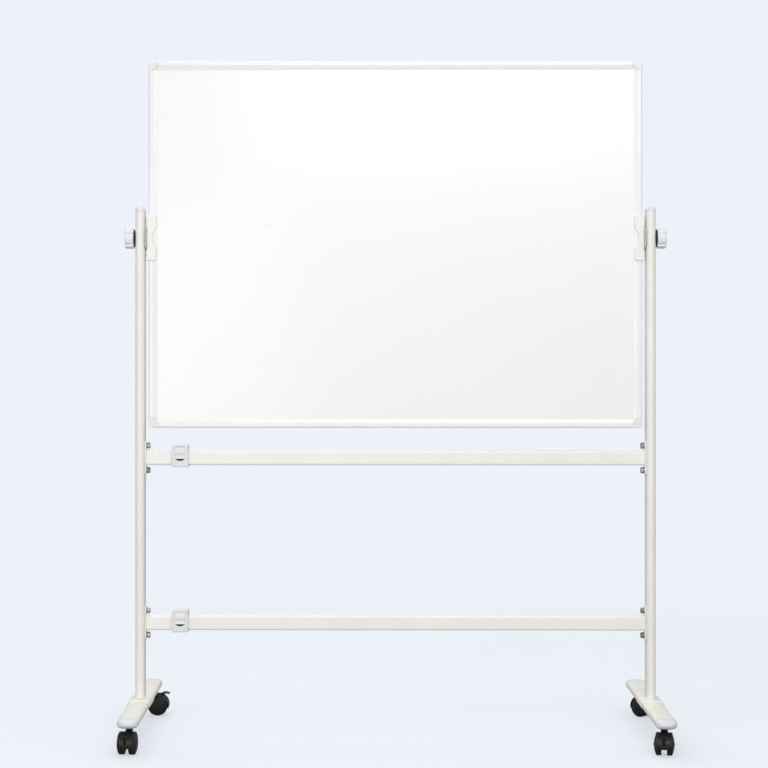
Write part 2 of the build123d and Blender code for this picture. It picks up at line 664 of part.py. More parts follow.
def trailing_slot():
    """The T-shaped slot in the trailing end of a hood without a brake."""
    trailing = CASTER_TRAIL + HOOD_RADIUS
    depth = (trailing - SLOT_DEPTH, trailing + OVERSHOOT)
    slot = block(depth, (-SLOT_HALF, SLOT_HALF), (SLOT_BOTTOM_Z, SLOT_TOP_Z))
    return slot + block(depth, (-SLOT_BAR_HALF, SLOT_BAR_HALF), (SLOT_TOP_Z - SLOT_BAR_HEIGHT, SLOT_TOP_Z))


def caster_wheel(side):
    """One of the twin wheels: a flat tread and a domed outer face."""
    radius = CASTER_WHEEL_RADIUS
    dome_rise = WHEEL_OUTER_FACE - WHEEL_TREAD_EDGE
    rim = radius - 1.2
    outline = make_face(
        Polyline(
            (WHEEL_TREAD_EDGE, rim), (WHEEL_TREAD_EDGE - 1.2, radius), (WHEEL_INNER_FACE + 1.0, radius),
            (WHEEL_INNER_FACE, radius - 1.0), (WHEEL_INNER_FACE, AXLE_RADIUS + RUNNING_GAP),
            (WHEEL_OUTER_FACE, AXLE_RADIUS + RUNNING_GAP),
        )
        + ThreePointArc(
            (WHEEL_OUTER_FACE, AXLE_RADIUS + RUNNING_GAP),
            (WHEEL_TREAD_EDGE + 0.72 * dome_rise, 0.62 * radius),
            (WHEEL_TREAD_EDGE, rim),
        )
    )
    wheel = revolve(outline, Axis.X, 360)
    wheel = Rot(0, 0, 90 * side) * wheel
    return Pos(CASTER_TRAIL, 0, radius) * wheel


def caster_axle():
    half = WHEEL_OUTER_FACE + LOOSE_GAP
    return rod_y(AXLE_RADIUS, -half, half, CASTER_TRAIL, CASTER_WHEEL_RADIUS)


def brake_lever():
    """The foot lever: an arched paddle above the hood, with a blade that pivots between the wheels.

    The outlines are drawn about the wheels' axle, along the trail and upward.
    """
    paddle = [
        (1.5, 28.6), (8.0, 29.5), (13.0, 32.0), (18.0, 32.8), (24.0, 32.3), (29.5, 30.2),
        (30.0, 28.2), (27.5, 27.9), (22.0, 29.0), (16.0, 28.6), (10.0, 27.6), (5.0, 26.2),
    ]
    blade = [(1.5, 28.6), (1.5, 15.0), (7.5, 14.0), (9.0, 27.5)]
    at_the_axle = Plane(origin=(CASTER_TRAIL, 0, CASTER_WHEEL_RADIUS), x_dir=(1, 0, 0), z_dir=(0, -1, 0))
    lever = rod_y(LEVER_PIN_RADIUS, -LEVER_PIN_HALF, LEVER_PIN_HALF, LEVER_PIN_X, LEVER_PIN_Z)
    for outline, half_width in ((paddle, LEVER_PADDLE_HALF), (blade, LEVER_BLADE_HALF)):
        face = make_face(at_the_axle * Polyline(*outline, close=True))
        lever += extrude(face, half_width, both=True)
    return lever


def caster_stem():
    """The stem, fixed in the foot: the caster swivels on its lower end."""
    neck = rod_z(STEM_NECK_RADIUS, HOOD_TOP_Z + LOOSE_GAP, FOOT_BOTTOM_Z)
    return rod_z(STEM_RADIUS, STEM_BOTTOM_Z, FOOT_TOP_Z - STEM_BELOW_TUBE_TOP) + neck


def caster_socket():
    """The plug in the foot that grips the stem."""
    socket = rod_z(SOCKET_RADIUS, FOOT_BOTTOM_Z, FOOT_TOP_Z - SOCKET_BELOW_TUBE_TOP)
    return socket - rod_z(STEM_RADIUS, FOOT_BOTTOM_Z - OVERSHOOT, FOOT_TOP_Z - STEM_BELOW_TUBE_TOP)


def caster_place(name):
    foot, end, angle, _ = CASTERS[name]
    return Pos(foot * POST_X, end * CASTER_Y, 0) * Rot(0, 0, angle)


def all_casters(shape):
    """The same fixed piece at all four caster positions."""
    return group([caster_place(name) * shape for name in CASTERS])


def build():
    """Every node of the object by name."""
    nodes = {}
    nodes["right_post"] = right_post()
    nodes["left_post"] = other_side(right_post())
    nodes["post_top_caps"] = both_sides(right_post_cap())
    nodes["pivot_sleeves"] = both_sides(left_sleeve())

    for name, bar_z in BAR_HEIGHTS.items():
        nodes[f"{name}_crossbar"] = crossbar(bar_z)
        nodes[f"{name}_clip_body"] = clip_body(bar_z)
        nodes[f"{name}_clip_latch"] = clip_latch(bar_z)
    nodes["crossbar_flanges"] = group([both_sides(right_flange(bar_z)) for bar_z in BAR_HEIGHTS.values()])

    heights = flange_bolt_heights()
    flat_start = FLANGE_INNER_X - FLAT_WASHER_THICKNESS
    spring_start = flat_start - SPRING_WASHER_THICKNESS
    flat = [ring_x(FLAT_WASHER_RADIUS, BOLT_RADIUS, flat_start, FLANGE_INNER_X, z=z) for z in heights]
    spring = [ring_x(SPRING_WASHER_RADIUS, BOLT_RADIUS, spring_start, flat_start, z=z) for z in heights]
    nodes["crossbar_flat_washers"] = both_sides(group(flat))
    nodes["crossbar_spring_washers"] = both_sides(group(spring))
    nodes["crossbar_bolts"] = both_sides(group([right_flange_bolt(z) for z in heights]))
    nodes["post_weld_nuts"] = both_sides(group([right_flange_nut(z) for z in heights]))

    nodes["right_foot_tube"] = right_foot_tube()
    nodes["left_foot_tube"] = other_side(right_foot_tube())
    nodes["foot_end_caps"] = both_sides(right_foot_caps())
    nodes["foot_collars"] = both_sides(right_foot_collar())
    nodes["post_base_blocks"] = both_sides(right_base_block())
    nodes["post_base_bolts"] = both_sides(right_base_bolts())

    half_panel = PANEL_THICKNESS / 2
    core_half = half_panel - SHEET_THICKNESS
    nodes["front_writing_sheet"] = panel_slab(-half_panel, -core_half)
    nodes["board_core"] = panel_slab(-core_half, core_half)
    nodes["rear_writing_sheet"] = panel_slab(core_half, half_panel)
    nodes["top_rail"] = level_rail(BOARD_TOP_Z, -1)
    nodes["bottom_rail"] = level_rail(BOARD_BOTTOM_Z, 1)
    nodes["left_rail"] = left_rail()
    nodes["right_rail"] = other_side(left_rail())
    nodes["frame_corner_pieces"] = group([corner_piece(right, up) for right in (-1, 1) for up in (-1, 1)])

    nodes["left_pivot_bracket"] = left_bracket()
    nodes["right_pivot_bracket"] = other_side(left_bracket())
    nodes["pivot_studs"] = both_sides(left_stud())
    nodes["pivot_friction_discs"] = both_sides(left_friction_disc())
    nodes["bracket_screws"] = both_sides(left_bracket_screws())

    clamp = {"knob": left_knob(), "knob_insert": left_knob_insert(), "knob_washer": left_knob_washer()}
    for piece, shape in clamp.items():
        nodes[f"left_{piece}"] = shape
        nodes[f"right_{piece}"] = other_side(shape)

    nodes["caster_stems"] = all_casters(caster_stem())
    nodes["caster_sockets"] = all_casters(caster_socket())
    for name, (_, _, _, brakes) in CASTERS.items():
        place = caster_place(name)
        nodes[f"{name}_caster_hood"] = place * caster_hood(brakes)
        nodes[f"{name}_caster_axle"] = place * caster_axle()
        nodes[f"{name}_wheel_a"] = place * caster_wheel(-1)
        nodes[f"{name}_wheel_b"] = place * caster_wheel(1)
        if brakes:
            nodes[f"{name}_brake_lever"] = place * brake_lever()
    return nodes


os.makedirs("parts", exist_ok=True)
for node_name, node_shape in build().items():
    export_step(node_shape, f"parts/{node_name}.step")
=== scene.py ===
import json
import math

import bmesh
import bpy
from mathutils import Matrix, Vector


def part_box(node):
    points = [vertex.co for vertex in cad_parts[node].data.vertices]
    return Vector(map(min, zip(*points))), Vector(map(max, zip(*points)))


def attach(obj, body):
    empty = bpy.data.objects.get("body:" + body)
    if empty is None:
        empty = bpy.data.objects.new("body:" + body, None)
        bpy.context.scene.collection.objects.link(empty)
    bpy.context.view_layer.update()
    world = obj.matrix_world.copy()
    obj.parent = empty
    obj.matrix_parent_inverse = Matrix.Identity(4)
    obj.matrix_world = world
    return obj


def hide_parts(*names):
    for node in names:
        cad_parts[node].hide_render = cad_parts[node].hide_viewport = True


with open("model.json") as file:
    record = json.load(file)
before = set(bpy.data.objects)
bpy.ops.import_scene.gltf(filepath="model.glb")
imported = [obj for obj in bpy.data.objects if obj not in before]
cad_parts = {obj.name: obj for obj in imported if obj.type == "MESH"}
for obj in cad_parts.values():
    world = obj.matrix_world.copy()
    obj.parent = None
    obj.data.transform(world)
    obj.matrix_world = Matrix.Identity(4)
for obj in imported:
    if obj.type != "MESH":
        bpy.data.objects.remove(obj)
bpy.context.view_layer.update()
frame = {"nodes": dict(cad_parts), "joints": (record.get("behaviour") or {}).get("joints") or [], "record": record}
JOINTS = {joint["name"]: joint for joint in frame["joints"]}
SLOT_OF = {row["node"]: row["material_slot"] for row in frame["record"]["subparts"]}

# ---------------------------------------------------------------- sizes, in metres
POST_CAP_ROUND = 0.0113
BAR_CORNER = 0.005
FLANGE_CORNER = 0.004
WELD_LEG = 0.0028
BOLT_HEAD = 0.0053
BOLT_RADIUS = 0.004
BOLT_LENGTH = 0.020
SPRING_WASHER = 0.002
FLAT_WASHER = 0.0016
BOLT_HOLE = 0.0042
DISC_THICKNESS = 0.005
SCREW_OFFSET = 0.041
RAIL_BULLNOSE = 0.0045
RAIL_GROOVE_AT = 0.0100
RAIL_GROOVE_WIDTH = 0.0018
RAIL_GROOVE_DEPTH = 0.0012
RAIL_LIP_HALF = 0.0074
PANEL_INSET = 0.008
PANEL_HALF = 0.0065
CORNER_SIZE = 0.0225
CORNER_RADIUS = 0.008
CORNER_STEP_HALF = 0.0080
BRACKET_LOBE = 0.024
BRACKET_WAIST = 0.0146
BRACKET_LOBE_HEIGHT = 0.0265
BRACKET_WAIST_HALF = 0.0078
BRACKET_CORNER = 0.006
BRACKET_EDGE_ROUND = 0.0026
KNOB_LOBES = 6
KNOB_LOBE_PHASE = math.radians(20)
KNOB_GROOVE_RADIUS = 0.0042
KNOB_HUB_RADIUS = 0.015
KNOB_HUB_LENGTH = 0.0004
KNOB_EDGE_ROUND = 0.0045
FOOT_FULLNESS = 2.9
FOOT_END_ROUND = 0.020
COLLAR_GAP = 0.0007
STEM_RADIUS = 0.005
STEM_NECK_RADIUS = 0.006
TRAIL = 0.0185
WHEEL_RADIUS = 0.025
WHEEL_INNER = 0.0066
WHEEL_TREAD_EDGE = 0.0186
WHEEL_OUTER = 0.024
AXLE_RADIUS = 0.004
HOOD_RADIUS = 0.0275
HOOD_HALF_WIDTH = 0.0192
HOOD_WEB_HALF = 0.0062
HOOD_POCKET_RADIUS = 0.0258
HOOD_TOP = 0.057
HOOD_WEB_BOTTOM = 0.017
HOOD_FENDER_BOTTOM = 0.020
CLIP_WALL = 0.003
LATCH_HALF = 0.0118
LATCH_PIN_Y = -0.015
LATCH_PIN_RISE = 0.025
LATCH_BARREL = 0.003
LATCH_LIP = -0.0013
RECESS_DEPTH = 0.006
RECESS_HALF = 0.0105
RECESS_DROP = 0.0057


# ---------------------------------------------------------------- outlines, as lists of (u, v)
def arc(centre_u, centre_v, radius, start, end, steps):
    """Points along an arc, angles in degrees, both ends included."""
    points = []
    for step in range(steps + 1):
        angle = math.radians(start + (end - start) * step / steps)
        points.append((centre_u + radius * math.cos(angle), centre_v + radius * math.sin(angle)))
    return points


def rounded_rectangle(width, height, radius, steps=8):
    """A rectangle about the origin with arcs for corners."""
    u, v = width / 2 - radius, height / 2 - radius
    corners = ((u, v, 0), (-u, v, 90), (-u, -v, 180), (u, -v, 270))
    return [point for cu, cv, start in corners for point in arc(cu, cv, radius, start, start + 90, steps)]


def flat_oval(width, depth, steps=24):
    """The posts' section: straight sides along v, half-round front and back."""
    radius = width / 2
    straight = max(depth / 2 - radius, 0.0)
    return arc(0, straight, radius, 0, 180, steps) + arc(0, -straight, radius, 180, 360, steps)


def pillow(half_width, half_height, steps=96):
    """The feet's section: a soft flattened oval, fuller than an ellipse, drawn from its lowest point."""
    points = []
    for step in range(steps):
        angle = math.tau * step / steps - math.pi / 2
        across, up = math.cos(angle), math.sin(angle)
        points.append((half_width * math.copysign(abs(across) ** (2 / FOOT_FULLNESS), across),
                       half_height * math.copysign(abs(up) ** (2 / FOOT_FULLNESS), up)))
    return points


def hexagon(across_flats):
    corner = across_flats / math.sqrt(3)
    angles = [math.radians(60 * k) for k in range(6)]
    return [(corner * math.cos(angle), corner * math.sin(angle)) for angle in angles]


# ---------------------------------------------------------------- mesh tools
AXES = {
    "X": Matrix(((0, 0, 1, 0), (1, 0, 0, 0), (0, 1, 0, 0), (0, 0, 0, 1))),
    "Y": Matrix(((1, 0, 0, 0), (0, 0, 1, 0), (0, 1, 0, 0), (0, 0, 0, 1))),
    "Z": Matrix.Identity(4),
}


def along(axis, place=(0, 0, 0)):
    """A matrix that stands a shape drawn in (u, v) with height w along an axis, its origin at a place."""
    return Matrix.Translation(Vector(place)) @ AXES[axis]


def add_loft(mesh, rings, matrix=Matrix.Identity(4), capped=True):
    """Skins a row of rings, each a list of points with the same count, and closes both ends."""
    loops = [[mesh.verts.new(matrix @ Vector(point)) for point in ring] for ring in rings]
    count = len(loops[0])
    for lower, upper in zip(loops, loops[1:]):
        for k in range(count):
            mesh.faces.new((lower[k], lower[(k + 1) % count], upper[(k + 1) % count], upper[k]))
    if capped:
        mesh.faces.new(list(reversed(loops[0])))
        mesh.faces.new(loops[-1])
    return loops


def add_prism(mesh, outline, low, high, matrix=Matrix.Identity(4)):
    """An outline drawn in (u, v), extruded from one height to another."""
    add_loft(mesh, [[(u, v, height) for u, v in outline] for height in (low, high)], matrix)


def add_lathe(mesh, profile, matrix=Matrix.Identity(4), steps=64):
    """A closed profile of (radius, height) points turned about the w axis."""
    rings = []
    for radius, height in profile:
        if radius < 1e-7:
            rings.append([mesh.verts.new(matrix @ Vector((0, 0, height)))])
            continue
        angles = [math.tau * k / steps for k in range(steps)]
        rings.append([mesh.verts.new(matrix @ Vector((radius * math.cos(a), radius * math.sin(a), height)))
                      for a in angles])
    for ring, following in zip(rings, rings[1:] + rings[:1]):
        if len(ring) == 1 and len(following) == 1:
            continue
        for k in range(steps):
            corners = [ring[k % len(ring)], following[k % len(following)],
                       following[(k + 1) % len(following)], ring[(k + 1) % len(ring)]]
            unique = list(dict.fromkeys(corners))
            mesh.faces.new(unique)


def add_box(mesh, low, high, matrix=Matrix.Identity(4)):
    outline = [(low[0], low[1]), (high[0], low[1]), (high[0], high[1]), (low[0], high[1])]
    add_prism(mesh, outline, low[2], high[2], matrix)


def rod(radius, start, end):
    """The lathe profile of a plain round rod or bore."""
    return [(0, start), (radius, start), (radius, end), (0, end)]


def washer_profile(bore, radius, thickness, ease):
    """The lathe profile of a ring whose outer corners are eased."""
    return [(bore, 0), (radius - ease, 0), (radius, ease), (radius, thickness - ease),
            (radius - ease, thickness), (bore, thickness)]


def to_object(name, mesh):
    """A bmesh as a new object at the origin."""
    bmesh.ops.recalc_face_normals(mesh, faces=mesh.faces)
    data = bpy.data.meshes.new(name)
    mesh.to_mesh(data)
    mesh.free()
    piece = bpy.data.objects.new(name, data)
    bpy.context.scene.collection.objects.link(piece)
    return piece


def solid(name, builder, *arguments):
    """An object from one mesh-building call."""
    mesh = bmesh.new()
    builder(mesh, *arguments)
    return to_object(name, mesh)


def apply_modifiers(piece):
    """Fixes the modifiers of a piece into its mesh."""
    graph = bpy.context.evaluated_depsgraph_get()
    data = bpy.data.meshes.new_from_object(piece.evaluated_get(graph))
    piece.modifiers.clear()
    piece.data = data


def combine(piece, tool, operation="DIFFERENCE"):
    """Cuts a tool out of a piece, or joins it on, and removes the tool."""
    modifier = piece.modifiers.new("combine", "BOOLEAN")
    modifier.object = tool
    modifier.operation = operation
    modifier.solver = "EXACT"
    apply_modifiers(piece)
    bpy.data.objects.remove(tool)
    return piece


def cut(piece, builder, *arguments):
    return combine(piece, solid("cutter", builder, *arguments))


def join(piece, builder, *arguments):
    return combine(piece, solid("joined", builder, *arguments), "UNION")


def merge_all(name, pieces):
    """Several objects' meshes in one named object, in their own order."""
    first = pieces[0]
    mesh = bmesh.new()
    for piece in pieces:
        mesh.from_mesh(piece.data)
    mesh.to_mesh(first.data)
    mesh.free()
    for piece in pieces[1:]:
        bpy.data.objects.remove(piece)
    first.name = name
    return first


def round_edges(piece, radius, segments, angle=50):
    """Rounds the sharp edges of a piece that is still to be cut."""
    bevel = piece.modifiers.new("rounding", "BEVEL")
    bevel.width = radius
    bevel.segments = segments
    bevel.limit_method = "ANGLE"
    bevel.angle_limit = math.radians(angle)
    bevel.use_clamp_overlap = True
    apply_modifiers(piece)


def soften(piece, radius, segments=3, angle=32):
    """Rounds a piece's sharp edges and shades it smoothly."""
    if radius:
        round_edges(piece, radius, segments, angle)
    piece.data.shade_smooth()
    piece.data.set_sharp_from_angle(angle=math.radians(angle))
    weighted = piece.modifiers.new("normals", "WEIGHTED_NORMAL")
    weighted.keep_sharp = True
    return piece


def place(piece, material, body, *nodes, slot=None):
    """Gives a piece its material, its body and the CAD nodes that it stands for."""
    piece.data.materials.clear()
    piece.data.materials.append(material)
    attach(piece, body)
    if nodes:
        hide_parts(*nodes)
    return piece


# ---------------------------------------------------------------- materials
class Shader:
    """A short way to wire a Principled material."""

    def __init__(self, name):
        self.material = bpy.data.materials.new(name)
        self.material.use_nodes = True
        self.tree = self.material.node_tree
        self.surface = self.tree.nodes["Principled BSDF"]
        self.place = self.node("ShaderNodeTexCoord").outputs["Object"]

    def node(self, kind, **values):
        made = self.tree.nodes.new(kind)
        for key, value in values.items():
            setattr(made, key, value)
        return made

    def link(self, start, end):
        self.tree.links.new(start, end)

    def stretched(self, scale):
        mapping = self.node("ShaderNodeMapping")
        mapping.inputs["Scale"].default_value = scale
        self.link(self.place, mapping.inputs["Vector"])
        return mapping.outputs["Vector"]

    def noise(self, size, detail=3.0, roughness=0.5, vector=None):
        """Noise whose features are about size metres across."""
        made = self.node("ShaderNodeTexNoise")
        made.inputs["Scale"].default_value = 1.0 / size
        made.inputs["Detail"].default_value = detail
        made.inputs["Roughness"].default_value = roughness
        self.link(vector or self.place, made.inputs["Vector"])
        return made.outputs[0]

    def spread(self, value, low, high, start=0.3, end=0.7):
        """Maps a value from start..end to low..high."""
        made = self.node("ShaderNodeMapRange")
        for key, number in (("From Min", start), ("From Max", end), ("To Min", low), ("To Max", high)):
            made.inputs[key].default_value = number
        self.link(value, made.inputs["Value"])
        return made.outputs["Result"]

    def blend(self, share, first, second):
        """A colour between two, by a share from 0 to 1."""
        made = self.node("ShaderNodeMix", data_type="RGBA")
        self.link(share, made.inputs["Factor"])
        for socket, colour in ((made.inputs[6], first), (made.inputs[7], second)):
            if isinstance(colour, tuple):
                socket.default_value = (*colour, 1)
            else:
                self.link(colour, socket)
        return made.outputs[2]

    def colour(self, value):
        self.link(value, self.surface.inputs["Base Color"])

    def mottled(self, value, colour, dark, light, start=0.3, end=0.7):
        """Varies the base colour between two shades of it."""
        share = self.spread(value, 0.0, 1.0, start, end)
        self.colour(self.blend(share, shade(colour, dark), shade(colour, light)))

    def roughness(self, value):
        self.link(value, self.surface.inputs["Roughness"])

    def bump(self, height, distance, strength=1.0):
        made = self.node("ShaderNodeBump")
        made.inputs["Distance"].default_value = distance
        made.inputs["Strength"].default_value = strength
        self.link(height, made.inputs["Height"])
        self.link(made.outputs["Normal"], self.surface.inputs["Normal"])

    def set(self, **values):
        for key, value in values.items():
            self.surface.inputs[key.replace("_", " ")].default_value = value


def shade(colour, factor):
    return tuple(channel * factor for channel in colour)


def powder_coat(name, colour):
    """Satin powder coat: fine orange peel, slight unevenness in tone and gloss."""
    shader = Shader(name)
    shader.mottled(shader.noise(0.11, 4), colour, 0.975, 1.015)
    shader.roughness(shader.spread(shader.noise(0.02, 5), 0.34, 0.46))
    shader.bump(shader.noise(0.0016, 2), 0.00012, 0.22)
    shader.set(Coat_Weight=0.12, Coat_Roughness=0.3)
    return shader.material


def moulded(name, colour, rough=(0.38, 0.52), grain=0.0007, depth=0.00008):
    """Moulded plastic: a fine spark-eroded grain with faint flow marks."""
    shader = Shader(name)
    flow = shader.noise(0.03, 5, 0.6, shader.stretched((1, 1, 0.4)))
    shader.mottled(flow, colour, 0.965, 1.02)
    shader.roughness(shader.spread(shader.noise(0.012, 4), *rough))
    shader.bump(shader.noise(grain, 3, 0.6), depth, 0.35)
    shader.set(Specular_IOR_Level=0.5)
    return shader.material


def dry_wipe(name, colour):
    """Glossy dry-wipe coating with faint wipe marks in its gloss."""
    shader = Shader(name)
    wipes = shader.noise(0.10, 6, 0.62, shader.stretched((0.22, 1, 1.0)))
    shader.mottled(shader.noise(0.30, 3), colour, 0.992, 1.0)
    shader.roughness(shader.spread(wipes, 0.27, 0.33))
    shader.bump(shader.noise(0.05, 2), 0.00003, 0.1)
    shader.set(Coat_Weight=0.2, Coat_Roughness=0.14)
    return shader.material


def coated_extrusion(name, colour, direction):
    """White coated aluminium with very fine die lines along its length."""
    scale = {"X": (0.012, 1, 1), "Z": (1, 1, 0.012)}[direction]
    shader = Shader(name)
    lines = shader.noise(0.0011, 4, 0.55, shader.stretched(scale))
    shader.mottled(shader.noise(0.09, 3), colour, 0.98, 1.01)
    shader.roughness(shader.spread(lines, 0.27, 0.40))
    shader.bump(lines, 0.00005, 0.3)
    shader.set(Coat_Weight=0.15, Coat_Roughness=0.2)
    return shader.material


def plated_steel(name, colour):
    """Dull zinc plate: crystalline mottling and fine scuffs."""
    shader = Shader(name)
    shader.mottled(shader.noise(0.0022, 6, 0.65), colour, 0.78, 1.1)
    shader.roughness(shader.spread(shader.noise(0.0012, 4), 0.34, 0.54))
    shader.bump(shader.noise(0.0008, 3), 0.00005, 0.3)
    shader.set(Metallic=1.0)
    return shader.material


def black_nylon(name, colour, rough):
    """Black glass-filled nylon: a coarse matt grain, greyer where it has been scuffed."""
    shader = Shader(name)
    scuff = shader.noise(0.006, 6, 0.7, shader.stretched((1, 1, 0.5)))
    shader.mottled(scuff, colour, 0.85, 1.5, 0.45, 0.75)
    shader.roughness(shader.spread(shader.noise(0.004, 4), *rough))
    shader.bump(shader.noise(0.0009, 3, 0.6), 0.00012, 0.4)
    shader.set(Specular_IOR_Level=0.32)
    return shader.material


def blackened_steel(name, colour):
    """Turned steel with a black finish: faint turning marks and worn spots."""
    shader = Shader(name)
    marks = shader.noise(0.0009, 3, 0.5, shader.stretched((0.15, 0.15, 1)))
    shader.mottled(shader.noise(0.004, 5, 0.6), colour, 1.0, 1.8, 0.5, 0.8)
    shader.roughness(shader.spread(marks, 0.30, 0.45))
    shader.bump(marks, 0.00004, 0.3)
    shader.set(Specular_IOR_Level=0.4)
    return shader.material


DUST = (0.018, 0.017, 0.015)


def tread(name, colour):
    """Hard black wheel plastic with dust picked up round the tread."""
    shader = Shader(name)
    dust = shader.noise(0.005, 6, 0.7)
    shader.colour(shader.blend(shader.spread(dust, 0.0, 1.0, 0.5, 0.8), shade(colour, 0.9), DUST))
    shader.roughness(shader.spread(dust, 0.36, 0.62))
    shader.bump(shader.noise(0.0012, 4), 0.0001, 0.3)
    shader.set(Specular_IOR_Level=0.32)
    return shader.material


def friction_rubber(name, colour):
    """Dark rubber with a fine matt grain."""
    shader = Shader(name)
    grain = shader.noise(0.0016, 5, 0.7)
    shader.mottled(grain, colour, 0.8, 1.25)
    shader.roughness(shader.spread(grain, 0.62, 0.85))
    shader.bump(grain, 0.0001, 0.5)
    return shader.material


def knurled_brass(name, colour):
    """Turned brass with tool marks round it."""
    shader = Shader(name)
    marks = shader.noise(0.0006, 3, 0.5, shader.stretched((1, 0.1, 0.1)))
    shader.mottled(marks, colour, 0.8, 1.1)
    shader.roughness(shader.spread(marks, 0.2, 0.4))
    shader.bump(marks, 0.00005, 0.4)
    shader.set(Metallic=1.0)
    return shader.material


def honeycomb(name, colour):
    """The board's paper honeycomb core, with painted shade in its hollow cells."""
    shader = Shader(name)
    cells = shader.node("ShaderNodeTexVoronoi", feature="DISTANCE_TO_EDGE")
    cells.inputs["Scale"].default_value = 80.0
    shader.link(shader.place, cells.inputs["Vector"])
    walls = shader.spread(cells.outputs["Distance"], 1.0, 0.0, 0.0, 0.08)
    # Inside the cells the colour drops to 0.6 of the paper's: painted shade in the hollow cells; the walls keep
    # the paper's colour.
    shader.colour(shader.blend(walls, shade(colour, 0.6), colour))
    shader.roughness(shader.spread(shader.noise(0.004, 4), 0.75, 0.92))
    shader.bump(walls, 0.0005, 0.4)
    return shader.material


CREAM = (0.84, 0.832, 0.795)
MATERIALS = {
    "post_paint": powder_coat("cream_post_paint", CREAM),
    "bar_paint": powder_coat("cream_bar_paint", shade(CREAM, 1.03)),
    "foot_paint": powder_coat("cream_foot_paint", (0.84, 0.84, 0.80)),
    "foot_plastic": moulded("cool_white_plastic", (0.70, 0.72, 0.75)),
    "cap_plastic": moulded("cap_white_plastic", (0.76, 0.76, 0.785)),
    "collar_plastic": moulded("collar_plastic", (0.84, 0.84, 0.80)),
    "board_enamel": dry_wipe("dry_wipe_enamel", (0.90, 0.90, 0.90)),
    "board_core": honeycomb("paper_honeycomb", (0.55, 0.44, 0.30)),
    "corner_plastic": moulded("corner_plastic", (0.80, 0.79, 0.765)),
    "bracket_plastic": moulded("cream_bracket_plastic", shade(CREAM, 1.02)),
    "friction_rubber": friction_rubber("friction_rubber", (0.46, 0.465, 0.44)),
    "knob_plastic": moulded("knob_plastic", (0.80, 0.795, 0.845), (0.3, 0.42)),
    "black_plastic": black_nylon("black_plastic", (0.014, 0.014, 0.014), (0.35, 0.5)),
    "hood_plastic": black_nylon("hood_nylon", (0.0095, 0.0093, 0.0088), (0.36, 0.52)),
    "wheel_plastic": tread("wheel_plastic", (0.0080, 0.0080, 0.0077)),
    "black_steel": blackened_steel("black_steel", (0.012, 0.012, 0.012)),
    "clip_plastic": moulded("clip_plastic", (0.76, 0.76, 0.785), (0.3, 0.45)),
    "zinc_steel": plated_steel("zinc_plate", (0.36, 0.36, 0.34)),
    "raw_steel": plated_steel("raw_steel", (0.42, 0.42, 0.42)),
    "insert_brass": knurled_brass("insert_brass", (0.72, 0.55, 0.25)),
}
RAIL_COLOUR = (0.86, 0.865, 0.885)
LEVEL_RAIL = coated_extrusion("coated_rail_level", RAIL_COLOUR, "X")
UPRIGHT_RAIL = coated_extrusion("coated_rail_upright", RAIL_COLOUR, "Z")
MATERIALS["rail_white"] = LEVEL_RAIL


def dress_cad_nodes():
    """Every CAD node gets its slot's material; those that are replaced are hidden when their pieces are placed."""
    for name, node in frame["nodes"].items():
        node.data.materials.clear()
        node.data.materials.append(MATERIALS[SLOT_OF[name]])


def centre_of(node):
    """The middle of a node's box."""
    low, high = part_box(node)
    return (low + high) / 2


def bar_height(level):
    """The height of a crossbar's centre line."""
    low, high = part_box(f"{level}_crossbar")
    return (low.z + high.z) / 2


# ---------------------------------------------------------------- stand
def post_pieces(side):
    low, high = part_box(f"{side}_post")
    middle = centre_of(f"{side}_post")
    outline = flat_oval(high.x - low.x, high.y - low.y)
    tube = solid(f"{side}_post_tube", add_prism, outline, low.z, high.z, along("Z", (middle.x, middle.y, 0)))
    place(soften(tube, 0.00015, 2), MATERIALS["post_paint"], "stand", f"{side}_post")


def post_cap_pieces():
    """The domed caps: straight for a little, then rounded over in a half circle."""
    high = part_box("post_top_caps")[1]
    post_low, post_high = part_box("right_post")
    width, depth = post_high.x - post_low.x, post_high.y - post_low.y
    height = high.z - post_high.z
    mesh = bmesh.new()
    for side in ("left", "right"):
        middle = (centre_of(f"{side}_post").x, 0, post_high.z)
        steps = 18
        insets = [(0.0, 0.0), (0.0, height - POST_CAP_ROUND)]
        for step in range(1, steps + 1):
            angle = math.radians(88 * step / steps)
            inset = POST_CAP_ROUND * (1 - math.cos(angle))
            rise = height - POST_CAP_ROUND * (1 - math.sin(angle))
            insets.append((inset, rise))
        rings = []
        for inset, rise in insets:
            outline = flat_oval(width - 2 * inset, depth - 2 * inset)
            rings.append([(u, v, rise) for u, v in outline])
        add_loft(mesh, rings, along("Z", middle))
    caps = to_object("post_caps", mesh)
    place(soften(caps, 0, angle=40), MATERIALS["cap_plastic"], "stand", "post_top_caps")


def crossbar_piece(level):
    low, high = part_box(f"{level}_crossbar")
    middle = centre_of(f"{level}_crossbar")
    outline = rounded_rectangle(high.y - low.y, high.z - low.z, BAR_CORNER)
    matrix = along("X", (0, middle.y, middle.z))
    bar = solid(f"{level}_crossbar_tube", add_prism, outline, low.x, high.x, matrix)
    place(soften(bar, 0), MATERIALS["bar_paint"], "stand", f"{level}_crossbar")


